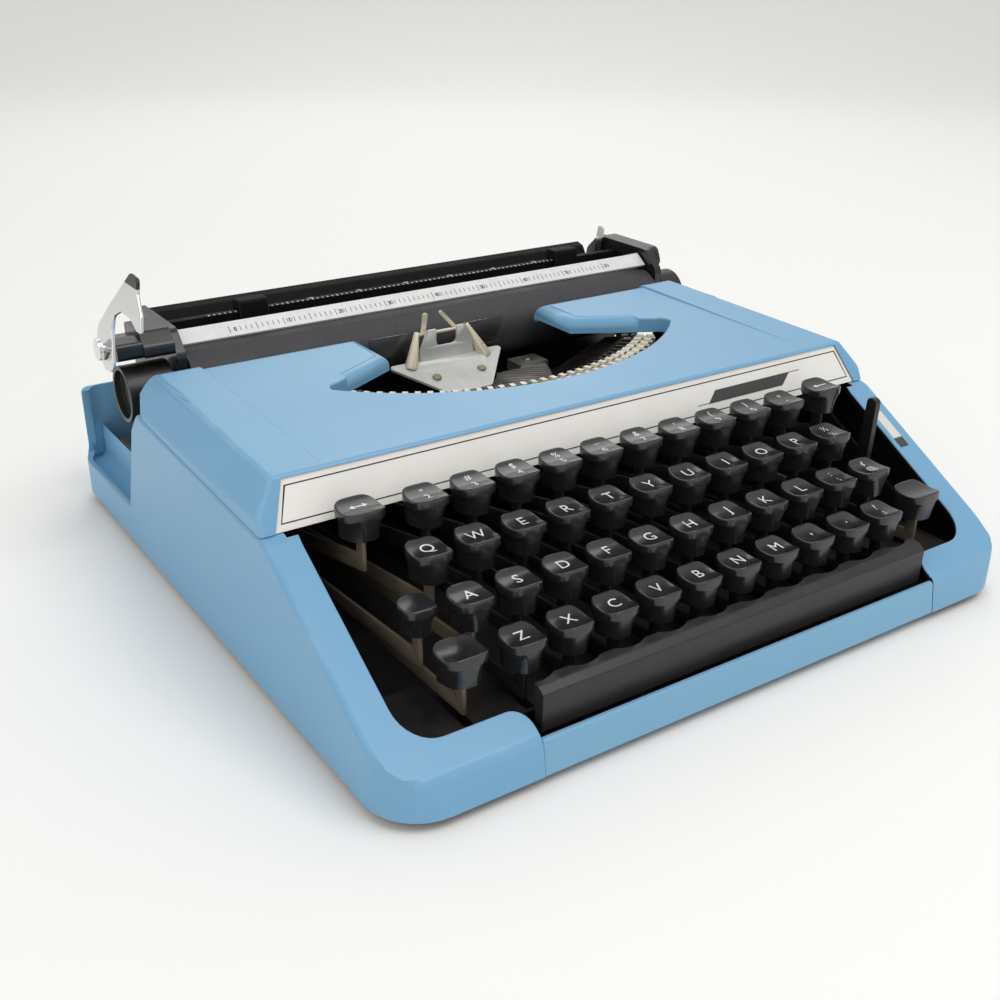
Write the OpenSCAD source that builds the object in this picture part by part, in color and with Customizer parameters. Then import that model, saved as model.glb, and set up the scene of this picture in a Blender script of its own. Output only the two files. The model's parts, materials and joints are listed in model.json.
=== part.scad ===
// Portable manual typewriter: moulded shell, hinged ribbon cover, sliding carriage and a lever keyboard
// Origin: middle of the footprint, on the table. X to the right, Y to the back, Z up

/* [Shell] */
// Room beside ten key pitches, on each side of the lower shell
case_margin = 50.25; // [47:0.25:55]
// Depth of the lower shell
body_d = 306; // [302:1:312]
// Thickness of the moulded walls
wall = 2.5; // [2:0.1:3]
// Height of the rubber feet under the shell
foot_h = 4; // [3:0.5:6]
// Radius of a rubber foot
foot_r = 9; // [6:0.5:12]
// Inset of the feet from the sides and from the front and back edges
foot_inset = 28; // [22:1:36]
// Corner radius of the footprint at the front
front_r = 20; // [14:1:26]
// Corner radius of the footprint at the back
rear_r = 14; // [10:1:20]
// Height of the shell at its front corners, above the table
front_h = 18; // [16:0.5:20]
// Backward lean of the front wall
front_lean = 2; // [1:0.5:3]
// Width of the sloping rails beside the keyboard
rail_w = 13; // [11:0.5:15]
// Width of the ledge that carries the ribbon cover
ledge_w = 9; // [8:0.5:9]
// Height of the low side walls beside the carriage way
low_wall_h = 20; // [16:1:24]
// Height of the back wall
rear_wall_h = 53; // [44:1:58]
// Depth of the front corner tabs, from the front edge to the keyboard well
tab_d = 13; // [11:0.5:15]
// Corner radius of the keyboard well
well_r = 12; // [8:1:16]
// Rounding of the inner ends of the corner tabs
tab_r = 7; // [4:0.5:9]
// Width of the separate front strip
strip_w = 189; // [184:1:194]
// Sideways offset of the front strip and of the gap between the tabs
strip_x = 4; // [0:0.5:5]
// Height of the front strip, above the table
strip_h = 17; // [15:0.5:17.5]
// Thickness of the bottom pan
pan_t = 1.5; // [1:0.1:2]

/* [Cover] */
// How far the ribbon cover stands in from the shell on each side
cover_inset = 0.5; // [0.3:0.1:1.5]
// Inward slope of the cover's sides, from seam to top
cover_slant = 10.5; // [9:0.5:12]
// Thickness of the cover
cover_t = 2; // [1.5:0.1:2.5]
// Height of the cover top at the front, above the table
cover_top = 84; // [83:0.5:87]
// Rise of the cover top towards the back
cover_rise = 1.5; // [0:0.5:2]
// Radius of the front arc of the type basket opening
basket_r = 122; // [118:1:126]
// Depth of the lip round the type basket opening
basket_lip = 6; // [4:0.5:8]
// Width of the gap between the two rear tabs
tab_gap = 96; // [90:1:104]
// Sideways offset of that gap
tab_gap_x = 5.5; // [3:0.5:8]
// Rolled edge of the rear tabs
tab_roll = 5; // [3:0.5:6]
// Height of the raised lands at the cover's rear corners
land_h = 1.2; // [0.6:0.1:1.6]
// Width of those lands, from the cover's top edge
land_w = 18; // [14:1:24]
// Radius of the cover hinge pins
cover_pin_r = 2; // [1.5:0.1:2.5]
// Thickness of the front panel
fascia_t = 1.2; // [0.8:0.1:1.4]
// How far the front panel stands back from the cover's front edge
fascia_set = 0.8; // [0.4:0.1:1]

/* [Keyboard] */
// Distance between neighbouring keys in a row
key_pitch = 19.05; // [18.5:0.05:19.5]
// Width of a key cap across its top
cap_w = 14.2; // [13:0.1:15]
// Depth of a key cap across its top
cap_d = 14.5; // [13:0.1:14.6]
// Height of a key cap
cap_h = 11.5; // [10.5:0.1:11.8]
// How far a key cap narrows from top to foot, on each side
cap_draft = 2.6; // [2:0.1:3]
// Corner radius of a key cap
cap_r = 4.6; // [3:0.1:5]
// Radius of the finger dish
dish_r = 17; // [14:0.5:24]
// Thickness of a key lever
lever_t = 1.4; // [1:0.1:1.6]
// Height of a key lever
lever_h = 5; // [4:0.1:5.4]
// Radius of the shaft that the levers turn on
fulcrum_r = 2.5; // [2:0.1:3]
// Radius of a lever's hub
hub_r = 4.2; // [3.8:0.1:4.6]
// Gap between the space bar and the left corner tab
bar_gap_left = 3.5; // [2:0.5:8]
// Gap between the space bar and the right corner tab
bar_gap_right = 2; // [1:0.5:4]
// Radius of the scallops along the space bar
scallop_r = 11; // [10.5:0.1:11.5]

/* [Carriage] */
// Radius of the platen
platen_r = 15; // [14:0.1:15.4]
// Length of the platen
platen_l = 252; // [246:1:252]
// Radius of the platen shaft
shaft_r = 3; // [2.5:0.1:3.5]
// Radius of the platen knobs
knob_r = 12; // [10:0.1:12.5]
// Width of the left platen knob
left_knob_w = 20; // [16:0.5:22]
// Width of the right platen knob
right_knob_w = 12; // [10:0.5:16]
// Thickness of the carriage end plates
end_t = 4; // [3:0.1:4.5]
// Carriage centre to the right of the machine's centre
carriage_x = 10; // [8:1:12]
// Width of the carriage rail's head
track_w = 10; // [8:0.5:12]
// Width of the bail scale
bail_w = 8; // [6:0.5:9]
// Thickness of the bail scale
bail_t = 1.2; // [1:0.1:1.6]
// Thickness of the line space lever
lever_plate_t = 1.5; // [1:0.1:2]
// Length of a margin stop
stop_l = 14; // [10:1:18]

/* [Fits] */
// Radial clearance of a running pin or shaft
run_gap = 0.05; // [0.03:0.01:0.08]
// Gap between pieces that are pressed or seated together
seat_gap = 0.1; // [0.06:0.01:0.15]
// Gap between pieces that slide past each other
slide_gap = 0.3; // [0.2:0.05:0.4]

/* [Hidden] */
$fn = 48;
eps = 0.01;
// Shell
body_w = 10 * key_pitch + 2 * case_margin;
half_w = body_w / 2;
front_y = -body_d / 2;
rear_y = body_d / 2;
// Side outline: end of the keyboard rails, rear end of the cover seam, and the rear column
rail_y = -68;
rail_z = 66.6;
seam_y = 56;
seam_z = 71.5;
column_y = 64.5;
column_z = 62.6;
column_foot_y = 81.5;
lip_y = front_y + front_lean;
well_half = half_w - rail_w;
well_front = front_y + tab_d;
slot_left = strip_x - strip_w / 2;
slot_right = strip_x + strip_w / 2;
pan_top = foot_h + pan_t;
// Side plates of the frame: outer face, thickness, front end, shoulder and rear step
frame_x = half_w - 11.5;
frame_t = 2;
frame_front = -104;
frame_front_h = 27;
frame_shoulder = -50;
frame_reach = 14;
frame_low = 8;
// Floor plate under the front row: height, front and rear edge, thickness, side and lever slots
floor_z = 17;
floor_front = -137;
floor_rear = -104;
floor_t = 1.2;
floor_half = half_w - 15.5;
floor_slot = 3.4;
// Cross bar under the type segment, and the wall of the carriage rail
cross_y = 44;
cross_d = 13;
cross_h = 8;
web_t = 4;
web_h = 24;
// Cover: hinge axis, front plane and rear edge
cover_w = body_w - 2 * cover_inset;
cover_top_w = cover_w - 2 * cover_slant;
hinge_y = 54.5;
hinge_z = cover_top - 7;
post_x = half_w - 17.5;
post_t = 2;
ear_x = post_x + post_t + 2 * slide_gap;
ear_t = 2;
ear_rim = 1.6;
cover_front = -66;
cover_lean = 8.5;
cover_rear = 60;
// Front panel: room beside it at its foot and at its top, and below the cover's top
fascia_foot = 5.5;
fascia_head = 1.8;
fascia_drop = 1.2;
seam_slope = (seam_z - rail_z) / (seam_y - rail_y);
basket_y = basket_r - 31;
tab_front = 12;
tab_reach = 28;
basket_half = 87;
basket_end_r = 5;
cover_ridge = cover_top + cover_rise + land_h + 0.2;
// Key lever fulcrum
fulcrum_y = 88;
fulcrum_z = 16;
// Middle of the front row, X of its first key, and the four rows: columns to the left, Y, top Z
key_mid = 1.225;
key_x0 = key_mid - 4.5 * key_pitch;
row_shift = [0.25, 0.75, 0.5, 0];
row_y = [-78, -95.8, -113.7, -130];
row_z = [75.3, 64.6, 54.4, 44];
row_keys = [
    ["2", "3", "4", "5", "6", "7", "8", "9", "0", "dash"],
    ["q", "w", "e", "r", "t", "y", "u", "i", "o", "p", "half"],
    ["a", "s", "d", "f", "g", "h", "j", "k", "l", "semicolon", "at"],
    ["z", "x", "c", "v", "b", "n", "m", "comma", "period", "slash"]
];
function row_start(r) = key_x0 - row_shift[r] * key_pitch;
function row_end(r) = row_start(r) + (len(row_keys[r]) - 1) * key_pitch;
letter_keys = [for (r = [1:3]) for (i = [0:len(row_keys[r]) - 1]) [str("key_", row_keys[r][i]), r, i]];
lever_drop = 8;
tang_in = 2;
tang_d = 5;
dish_depth = 1.6;
waist = 2.5;
cap_rim = 1.6;
// Keys beside the rows: distance from the end of their row, Y and top Z, then width and depth of the cap
release_key = [[row_start(0) - 24.2, -76, 76], [15.5, 14]];
back_key = [[row_end(0) + 20.3, -79, 77.5], [14, 14]];
lock_key = [[row_start(2) - 17, -108.5, 54.2], [12, 11.5]];
left_shift = [[row_start(3) - 22, -127.6, 45], [16.2, 14.6]];
right_shift = [[row_end(3) + 27.5, -125, 44], [16.2, 15]];
// Rod that ties the shift levers
tie_y = 66;
tie_z = 9.2;
tie_r = 1.5;
// Space bar: front face, height of its foot and top, depth, and its two arms
bar_y = -146;
bar_foot = 15;
bar_top = 32;
bar_d = 7.6;
bar_skin = 4;
bar_arm_z = 11;
bar_tang = 7;
bar_arms = [key_x0 + 2.125 * key_pitch, key_x0 + 6.875 * key_pitch];
// Carriage
platen_y = 79;
platen_z = 72;
left_x = carriage_x - platen_l / 2 - 1;
right_x = carriage_x + platen_l / 2 + 1;
track_y = 108;
track_z = 44;
track_t = 4;
rail_half = half_w - 17.5;
shoe_w = 17;
shoe_h = 13;
shoe_lap = 3;
// End plates: front, top and rear edge, and the small pins that they carry
plate_front = 69;
plate_top = 97;
plate_rear = track_y + 20;
pin_r = 1.5;
pin_eye = 3;
arm_t = 1.4;
// Bail: its pivot, its scale and the tilt of the scale
bail_y = 92;
bail_z = 88;
bail_seat_y = platen_y + 1;
bail_seat_z = platen_z + platen_r + 4.5;
bail_tilt = 35;
// Paper table: front edge, trough, rear edge and thickness
table_y = 99.6;
table_z = 74;
table_rear = 131;
table_foot = 66;
table_t = 2;
margin_y = 104;
margin_z = 92;
margin_d = 4;
margin_h = 6;
stop_at = [44, 35];
release_x = right_x - 2.7;
release_y = 116;
release_z = 84;
release_l = 19;
// Line space lever: its rivet and its inward lean
arm_lean = 13;
rivet_y = 75.5;
rivet_z = 94;
rivet_r = 1.8;
rivet_head_r = 4.5;
rivet_out = 4.5;
rivet_head_t = 1.5;
bracket_gap = 2.2;
casting_w = 13;
arm_x = left_x - 30;
// Platen knobs: gap to the end plates, and their grip flutes
left_knob_gap = 1.7;
right_knob_gap = 2.6;
flute_r = 1;
flute_step = 15;
knob_wall = 1.8;
knob_hollow = 3;
// Type basket
segment_y = 66;
segment_z = 50;
segment_r = 56;
segment_in = 30;
segment_t = 8;
segment_cut = 15;
lug = [16, 12, 9];
slot_floor = 2;
// Typebars: reach of the heads, number, fan angle, thickness and height, then the type heads
head_r = 94;
bar_count = 42;
bar_span = 136;
bar_t = 0.9;
bar_h = 5.5;
bar_lift = 16;
head_l = 9;
head_w = 3.4;
head_h = 6;
// Type guide: fan plate over the segment with its rear edge, front edge and slope
fan_y = 54.6;
fan_z = 70.2;
fan_l = 24.6;
fan_slope = 22;
fan_rear_w = 31;
fan_front_w = 11;
// Upright tab with the notch
guide_w = 14;
guide_top = 84;
guide_t = 1.2;
notch_w = 11;
notch_z = 76;
// Spacers between the fan plate and the segment: radius about the segment's centre, place and radius
spacer_at = segment_in + 2.2;
spacer_x = 9;
spacer_r = 1.6;
// Card guides, and ribbon cones from foot to tip
card_y = 60.5;
card_in = 12;
card_t = 0.8;
card_l = 25;
card_h = 12;
card_z = 70;
cone_foot = [20, 52, 67.5];
cone_tip = [13.1, 58, 82.5];
cone_r = [3.3, 1.2];
// Bar between the cones, then each finger's foot and tip along it
bar_at = cone_foot + 0.92 * (cone_tip - cone_foot);
guide_bar_r = 0.8;
fingers = [[-10.2, -8.8], [7.7, -1.4]];
finger_w = 2.5;
finger_t = 0.8;
finger_top = 91;
// Ribbon spools, their core and the decks that carry them
spool_x = frame_x - 28;
spool_y = -6;
spool_z = 58;
spool_r = 19;
spool_h = 14;
spool_pin_r = 3;
flange_t = 1;
core_r = 15;
deck_half = 22;
deck_t = 2;
deck_under = spool_z - eps;
// Ribbon colour selector
selector_x = right_shift[0].x + 5;
selector_y = -91;
selector_z = 20;
selector_tip = 72;
selector_lean = 3;
selector_t = 3;
selector_pin_r = 2;
selector_eye = 4.5;

// Outlines with rounded corners: each point is x, y and its corner radius
function unit(v) = v / norm(v);
function corner(a, b, c, r, n) =
    let (
        u = unit(a - b),
        v = unit(c - b),
        half = acos(u * v) / 2,
        m = b + unit(u + v) * r / sin(half),
        s = b + u * r / tan(half) - m,
        e = b + v * r / tan(half) - m,
        a0 = atan2(s.y, s.x),
        d = atan2(e.y, e.x) - a0,
        sweep = d > 180 ? d - 360 : d < -180 ? d + 360 : d
    )
    [for (i = [0:n]) m + r * [cos(a0 + sweep * i / n), sin(a0 + sweep * i / n)]];
function flat(p) = [p.x, p.y];
function soft(p, n = 6) = [
    for (i = [0:len(p) - 1])
        let (b = p[i], a = p[(i + len(p) - 1) % len(p)], c = p[(i + 1) % len(p)])
        each (b.z > 0 ? corner(flat(a), flat(b), flat(c), b.z, n) : [flat(b)])
];

// A side outline (Y, Z) extruded along X, a front outline (X, Z) extruded along Y, and a rod along X
module across(x0, x1) {
    translate([x0, 0, 0]) rotate([90, 0, 90]) linear_extrude(x1 - x0) children();
}
module along(y0, y1) {
    translate([0, y1, 0]) rotate([90, 0, 0]) linear_extrude(y1 - y0) children();
}
module rod(x0, x1, y, z, r) {
    translate([x0, y, z]) rotate([0, 90, 0]) cylinder(h = x1 - x0, r = r);
}
module both_sides() {
    children();
    mirror([1, 0, 0]) children();
}

// Lower shell
module footprint(inset) {
    w = half_w - inset;
    polygon(soft([
        [-w, front_y + inset, front_r - inset], [w, front_y + inset, front_r - inset],
        [w, rear_y - inset, rear_r - inset], [-w, rear_y - inset, rear_r - inset]], 8));
}
module well_outline() {
    polygon(soft([
        [-well_half, rear_y, 0], [-well_half, well_front, well_r], [slot_left, well_front, tab_r],
        [slot_left, front_y - 1, 0], [slot_right, front_y - 1, 0], [slot_right, well_front, tab_r],
        [well_half, well_front, well_r], [well_half, rear_y, 0]], 8));
}
function shell_top(drop) = [
    [lip_y, front_h - drop, 0], [rail_y, rail_z - drop, 12], [seam_y, seam_z - drop, 6],
    [column_y - drop, column_z, 8], [column_foot_y - drop, low_wall_h, 0]];
module shell_side() {
    polygon(soft(concat(
        [[front_y, foot_h, 0]],
        shell_top(0),
        [[rear_y - 2 * wall, low_wall_h, 6], [rear_y - 2 * wall, rear_wall_h, 2],
         [rear_y, rear_wall_h, 2], [rear_y, foot_h, 0]])));
}
module shell_band() {
    top = soft(shell_top(0));
    under = soft(shell_top(wall));
    polygon(concat(top, [for (i = [len(under) - 1:-1:0]) under[i]]));
}
module shell_cavity() {
    intersection() {
        linear_extrude(rear_wall_h * 2) footprint(wall);
        across(-half_w, half_w) polygon([
            [front_y + wall, 0], [rear_y, 0], [rear_y, rear_wall_h * 2],
            [front_y + wall + front_lean * rear_wall_h * 2 / (front_h - foot_h), rear_wall_h * 2]]);
    }
}
module base_shell() {
    color([0.53, 0.68, 0.80]) difference() {
        union() {
            difference() {
                intersection() {
                    translate([0, 0, foot_h]) linear_extrude(rear_wall_h * 2) footprint(0);
                    across(-half_w, half_w) shell_side();
                }
                shell_cavity();
            }
            // Sloping rails beside the keyboard, and the ledge under the cover
            intersection() {
                linear_extrude(rear_wall_h * 2) difference() {
                    footprint(0);
                    well_outline();
                }
                across(-half_w, half_w) intersection() {
                    shell_band();
                    translate([front_y, 0]) square([rail_y - front_y, rear_wall_h * 2]);
                }
            }
            both_sides() across(half_w - ledge_w, half_w - eps) intersection() {
                shell_band();
                translate([rail_y - eps, 0]) square([body_d, rear_wall_h * 2]);
            }
        }
        translate([slot_left, front_y - 1, 0]) cube([strip_w, tab_d + 1, rear_wall_h]);
    }
}
module front_strip() {
    lean = front_lean * (strip_h - foot_h) / (front_h - foot_h);
    color([0.53, 0.68, 0.80]) across(slot_left + seat_gap, slot_right - seat_gap) polygon(soft([
        [front_y, foot_h, 0], [front_y + wall, foot_h, 0], [front_y + wall + lean, strip_h, 0.8],
        [front_y + lean, strip_h, 1.4]]));
}
module bottom_pan() {
    // The front wall leans back, so the pan starts behind it
    front = front_y + wall + front_lean * pan_top / (front_h - foot_h) + seat_gap;
    color([0.10, 0.10, 0.11]) translate([0, 0, foot_h]) linear_extrude(pan_t) intersection() {
        footprint(wall + seat_gap);
        translate([-half_w, front]) square([body_w, body_d]);
    }
}
module rubber_feet() {
    color([0.06, 0.06, 0.06])
    for (x = [-1, 1] * (half_w - foot_inset), y = [front_y + foot_inset, rear_y - foot_inset])
        translate([x, y, 0]) cylinder(h = foot_h, r1 = foot_r - 1, r2 = foot_r);
}

// Steel frame: side plates, lever fulcrum, cross bar, carriage rail, spool decks and hinge posts
module frame_side() {
    across(frame_x - frame_t, frame_x) polygon([
        [frame_front, pan_top], [track_y + frame_reach, pan_top],
        [track_y + frame_reach, track_z - frame_low], [track_y - frame_reach, track_z - frame_low],
        [cross_y + cross_d, deck_under], [frame_shoulder, deck_under], [frame_front, frame_front_h]]);
}
module spool_deck() {
    translate([spool_x - deck_half, spool_y - deck_half, spool_z - deck_t])
        cube([frame_x - spool_x + deck_half, 2 * deck_half, deck_t]);
    translate([spool_x, spool_y, spool_z - eps]) cylinder(h = spool_h + slide_gap + eps, r = spool_pin_r);
}
module hinge_post() {
    across(post_x, post_x + post_t) polygon(soft([
        [cross_y, segment_z - cross_h / 2, 0], [cross_y + cross_d / 2, segment_z - cross_h / 2, 0],
        [hinge_y + 1, hinge_z - 2 * cover_pin_r, 0],
        [hinge_y + cover_pin_r + 0.6, hinge_z + cover_pin_r + 0.4, 2],
        [hinge_y - 2 * cover_pin_r, hinge_z + cover_pin_r + 0.4, 2]]));
    rod(post_x + eps, ear_x + ear_t + 2 * slide_gap, hinge_y, hinge_z, cover_pin_r);
}
module floor_plate() {
    levers = concat([for (i = [0:len(row_keys[3]) - 1]) key_x0 + i * key_pitch],
                    [left_shift[0].x, right_shift[0].x]);
    difference() {
        translate([-floor_half, floor_front, floor_z])
            cube([2 * floor_half, floor_rear - floor_front, floor_t]);
        for (x = levers) translate([x - floor_slot / 2, floor_front + 1.5, floor_z - 1])
            cube([floor_slot, floor_rear - floor_front, floor_t + 2]);
    }
    both_sides() translate([floor_half - frame_t, floor_front, pan_top])
        cube([frame_t, floor_rear - floor_front, floor_z - pan_top + eps]);
}
module chassis_frame() {
    color([0.16, 0.16, 0.17]) {
        floor_plate();
        both_sides() {
            frame_side();
            spool_deck();
            hinge_post();
        }
        rod(-frame_x + eps, frame_x - eps, fulcrum_y, fulcrum_z, fulcrum_r);
        // Cross bar under the type segment
        translate([-frame_x + eps, cross_y, segment_z - cross_h]) cube([2 * (frame_x - eps), cross_d, cross_h]);
        // Wall and head of the carriage rail
        translate([-frame_x + eps, track_y - web_t / 2, pan_top]) cube([2 * (frame_x - eps), web_t, web_h]);
        translate([-rail_half, track_y - web_t / 2, pan_top + web_h - eps])
            cube([2 * rail_half, web_t, track_z - track_t - pan_top - web_h + 2 * eps]);
        translate([-rail_half, track_y - track_w / 2, track_z - track_t])
            cube([2 * rail_half, track_w, track_t]);
        // Pivot of the ribbon colour selector
        rod(selector_x - selector_t / 2 - 1, frame_x - eps, selector_y, selector_z, selector_pin_r);
    }
}
function bar_turn(i) = -90 + bar_span * (i / (bar_count - 1) - 0.5);
module type_segment() {
    slot = bar_t + 2 * seat_gap;
    color([0.55, 0.55, 0.56]) translate([0, segment_y, segment_z]) {
        // Lugs at the two ends
        both_sides() translate([segment_r - lug.x, -segment_cut - eps, 0]) cube(lug);
        difference() {
            cylinder(h = segment_t, r = segment_r);
            translate([0, 0, -1]) cylinder(h = segment_t + 2, r = segment_in);
            translate([-segment_r - 1, -segment_cut, -1])
                cube([2 * segment_r + 2, 2 * segment_r, segment_t + 2]);
            for (i = [0:bar_count - 1])
                rotate(bar_turn(i)) translate([segment_in - 1, -slot / 2, slot_floor])
                    cube([segment_r, slot, segment_t]);
        }
    }
}
module typebars() {
    root = segment_in + 4;
    neck = head_r - 8;
    color([0.62, 0.62, 0.63])
    for (i = [0:bar_count - 1])
        translate([0, segment_y, segment_z + slot_floor + seat_gap]) rotate(bar_turn(i)) {
            translate([0, bar_t / 2, 0]) rotate([90, 0, 0]) linear_extrude(bar_t) polygon([
                [root, 0], [segment_r + 4, 0], [neck, bar_lift], [head_r + 2, bar_lift + 1],
                [head_r + 2, bar_lift + bar_h - 1], [neck, bar_lift + bar_h - 2],
                [segment_r, bar_h], [root, bar_h]]);
            translate([head_r - head_l / 3, -head_w / 2, bar_lift + 0.5]) cube([head_l, head_w, head_h]);
        }
}
module cone() {
    d = cone_tip - cone_foot;
    translate(cone_foot) rotate([0, acos(d.z / norm(d)), atan2(d.y, d.x)])
        cylinder(h = norm(d), r1 = cone_r[0], r2 = cone_r[1]);
}
module type_guide() {
    shoulder = guide_w - 4;
    color([0.70, 0.69, 0.66]) {
        // Fan plate that slopes down over the segment
        translate([0, fan_y, fan_z]) rotate([fan_slope, 0, 0]) translate([0, 0, -guide_t])
            linear_extrude(guide_t) polygon(soft([
                [-fan_rear_w, 0, 1.5], [-fan_front_w, -fan_l, 3],
                [fan_front_w, -fan_l, 3], [fan_rear_w, 0, 1.5]]));
        // Upright tab with the notch that the type heads enter
        along(fan_y - guide_t, fan_y) difference() {
            polygon(soft([
                [-guide_w, fan_z - 4, 0], [guide_w, fan_z - 4, 0], [guide_w, guide_top - 9, 2],
                [shoulder, guide_top, 1.5], [-shoulder, guide_top, 1.5], [-guide_w, guide_top - 9, 2]]));
            polygon(soft([
                [-notch_w / 2, notch_z, 2.5], [notch_w / 2, notch_z, 2.5], [notch_w / 2, guide_top + 1, 0],
                [-notch_w / 2, guide_top + 1, 0]]));
        }
        both_sides() {
            // Spacer that seats the fan plate on the segment
            translate([spacer_x, segment_y - sqrt(pow(spacer_at, 2) - pow(spacer_x, 2)), segment_z + segment_t])
                cylinder(h = fan_z - fan_l * sin(fan_slope) - segment_z - segment_t, r = spacer_r);
            cone();
            // Card guide beside the printing point, on its bracket
            along(card_y, card_y + card_t) polygon(soft([
                [card_in, card_z, 0], [card_in + card_l - 4, card_z, 2], [card_in + card_l, card_z + card_h, 2],
                [card_in, card_z + card_h, 1]]));
            translate([card_in, fan_y - eps, card_z - 2]) cube([4, card_y - fan_y + card_t, 4]);
        }
        // Bar between the cones, with its two fingers
        rod(-bar_at.x, bar_at.x, bar_at.y, bar_at.z, guide_bar_r);
        along(bar_at.y - finger_t / 2, bar_at.y + finger_t / 2) for (f = fingers)
            polygon(soft([
                [f[0] - finger_w / 2, bar_at.z, 0], [f[0] + finger_w / 2, bar_at.z, 0],
                [f[1] + finger_w / 2, finger_top, 0.8], [f[1] - finger_w / 2, finger_top, 0.8]]));
    }
}

// Hinged ribbon cover
function cover_side(i, rise) = soft([
    [cover_front + 1.2 * i, seam_at(cover_front) + slide_gap - 4 * min(i, 1), 0],
    [cover_front + cover_lean + 1.2 * i, cover_top - i, 2 - i],
    [cover_rear - i, cover_top + rise - i, 7 - i],
    [cover_rear - i, seam_at(cover_rear) + slide_gap + 6 - 14 * min(i, 1), 0],
    [seam_y - 8 - i, seam_at(seam_y - 8) + slide_gap - 4 * min(i, 1), 0]]);
function cover_front_view(i) = soft([
    [-cover_w / 2 + i, rail_z - 6, 0], [-cover_w / 2 + i, seam_z + 1, 5],
    [-cover_top_w / 2 + i, cover_ridge - i, 6 - i], [cover_top_w / 2 - i, cover_ridge - i, 6 - i],
    [cover_w / 2 - i, seam_z + 1, 5], [cover_w / 2 - i, rail_z - 6, 0]]);
function seam_at(y) = rail_z + (y - rail_y) * seam_slope;
module cover_solid(i) {
    land_x = cover_top_w / 2 - land_w + i;
    intersection() {
        union() {
            across(-cover_w / 2, cover_w / 2) polygon(cover_side(i, cover_rise));
            both_sides() across(land_x, cover_w / 2) polygon(cover_side(i, cover_rise + land_h));
        }
        along(cover_front - 10, cover_rear + 10) polygon(cover_front_view(i));
    }
}
// Type basket opening: a front arc, the gap between the tabs, and the rolled edges of the tabs
module roll(grow) {
    difference() {
        square([tab_roll, tab_roll + land_h + cover_rise + 1]);
        circle(tab_roll - grow);
    }
}
module basket_hole(grow, low) {
    left = tab_gap_x - tab_gap / 2;
    right = tab_gap_x + tab_gap / 2;
    roll_z = cover_top + cover_rise / 2 - tab_roll;
    end = basket_half + grow;
    translate([0, 0, low]) linear_extrude(2 * basket_lip + 10) {
        intersection() {
            translate([tab_gap_x, basket_y]) circle(basket_r + grow, $fn = 96);
            translate([tab_gap_x, tab_front + grow]) polygon(soft([
                [-end, -basket_r, 0], [end, -basket_r, 0],
                [end, 0, basket_end_r + grow], [-end, 0, basket_end_r + grow]]));
        }
        translate([left - grow, 0]) square([right - left + 2 * grow, cover_rear + 20]);
    }
    along(tab_front, cover_rear + 20) {
        translate([left - tab_roll, roll_z]) roll(grow);
        translate([right + tab_roll, roll_z]) mirror([1, 0]) roll(grow);
    }
    across(left - tab_reach, right + tab_reach)
        translate([tab_front + tab_roll, roll_z]) mirror([1, 0]) roll(grow);
}
module top_cover() {
    color([0.60, 0.73, 0.83]) {
        difference() {
            union() {
                difference() {
                    cover_solid(0);
                    cover_solid(cover_t);
                }
                // Lip turned down round the type basket
                intersection() {
                    cover_solid(0);
                    basket_hole(cover_t, cover_top - basket_lip);
                }
            }
            basket_hole(0, cover_top - 2 * basket_lip);
            fascia_plate(seat_gap, -1);
        }
        // Hinge ears
        both_sides() difference() {
            across(ear_x, ear_x + ear_t) union() {
                translate([hinge_y, hinge_z]) circle(cover_pin_r + ear_rim);
                translate([hinge_y - cover_pin_r - ear_rim, hinge_z])
                    square([2 * (cover_pin_r + ear_rim), cover_top - hinge_z + cover_rise - cover_t + 0.6]);
            }
            rod(ear_x - 1, ear_x + ear_t + 1, hinge_y, hinge_z, cover_pin_r + run_gap);
        }
    }
}
module fascia_plate(gap, front) {
    base = seam_at(cover_front) + slide_gap;
    low = base - gap;
    high = cover_top - fascia_drop + gap;
    slope = cover_lean / (cover_top - base);
    low_y = cover_front + slope * (low - base);
    high_y = cover_front + slope * (high - base);
    back = fascia_set + fascia_t + gap;
    foot = cover_w / 2 - fascia_foot + gap;
    head = cover_top_w / 2 - fascia_head + gap;
    intersection() {
        across(-cover_w / 2, cover_w / 2)
            polygon([[low_y + front, low], [high_y + front, high], [high_y + back, high], [low_y + back, low]]);
        along(cover_front - 10, cover_front + 30)
            polygon(soft([[-foot, low, 0], [foot, low, 0], [head, high, 1.5], [-head, high, 1.5]]));
    }
}
module fascia() {
    color([0.86, 0.85, 0.82]) fascia_plate(0, fascia_set);
}

// Ribbon spools
module spool(side) {
    color([0.45, 0.45, 0.46]) translate([side * spool_x, spool_y, spool_z + slide_gap]) difference() {
        union() {
            cylinder(h = flange_t, r = spool_r);
            cylinder(h = spool_h, r = core_r);
            translate([0, 0, spool_h - flange_t]) cylinder(h = flange_t, r = spool_r);
        }
        translate([0, 0, -1]) cylinder(h = spool_h + 2, r = spool_pin_r + run_gap);
        // Finger holes
        for (a = [0:120:240])
            rotate(a) translate([(core_r + spool_pin_r) / 2, 0, spool_h - 3]) cylinder(h = 6, r = core_r / 5);
    }
}
module ribbon_spool_left() { spool(-1); }
module ribbon_spool_right() { spool(1); }

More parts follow.
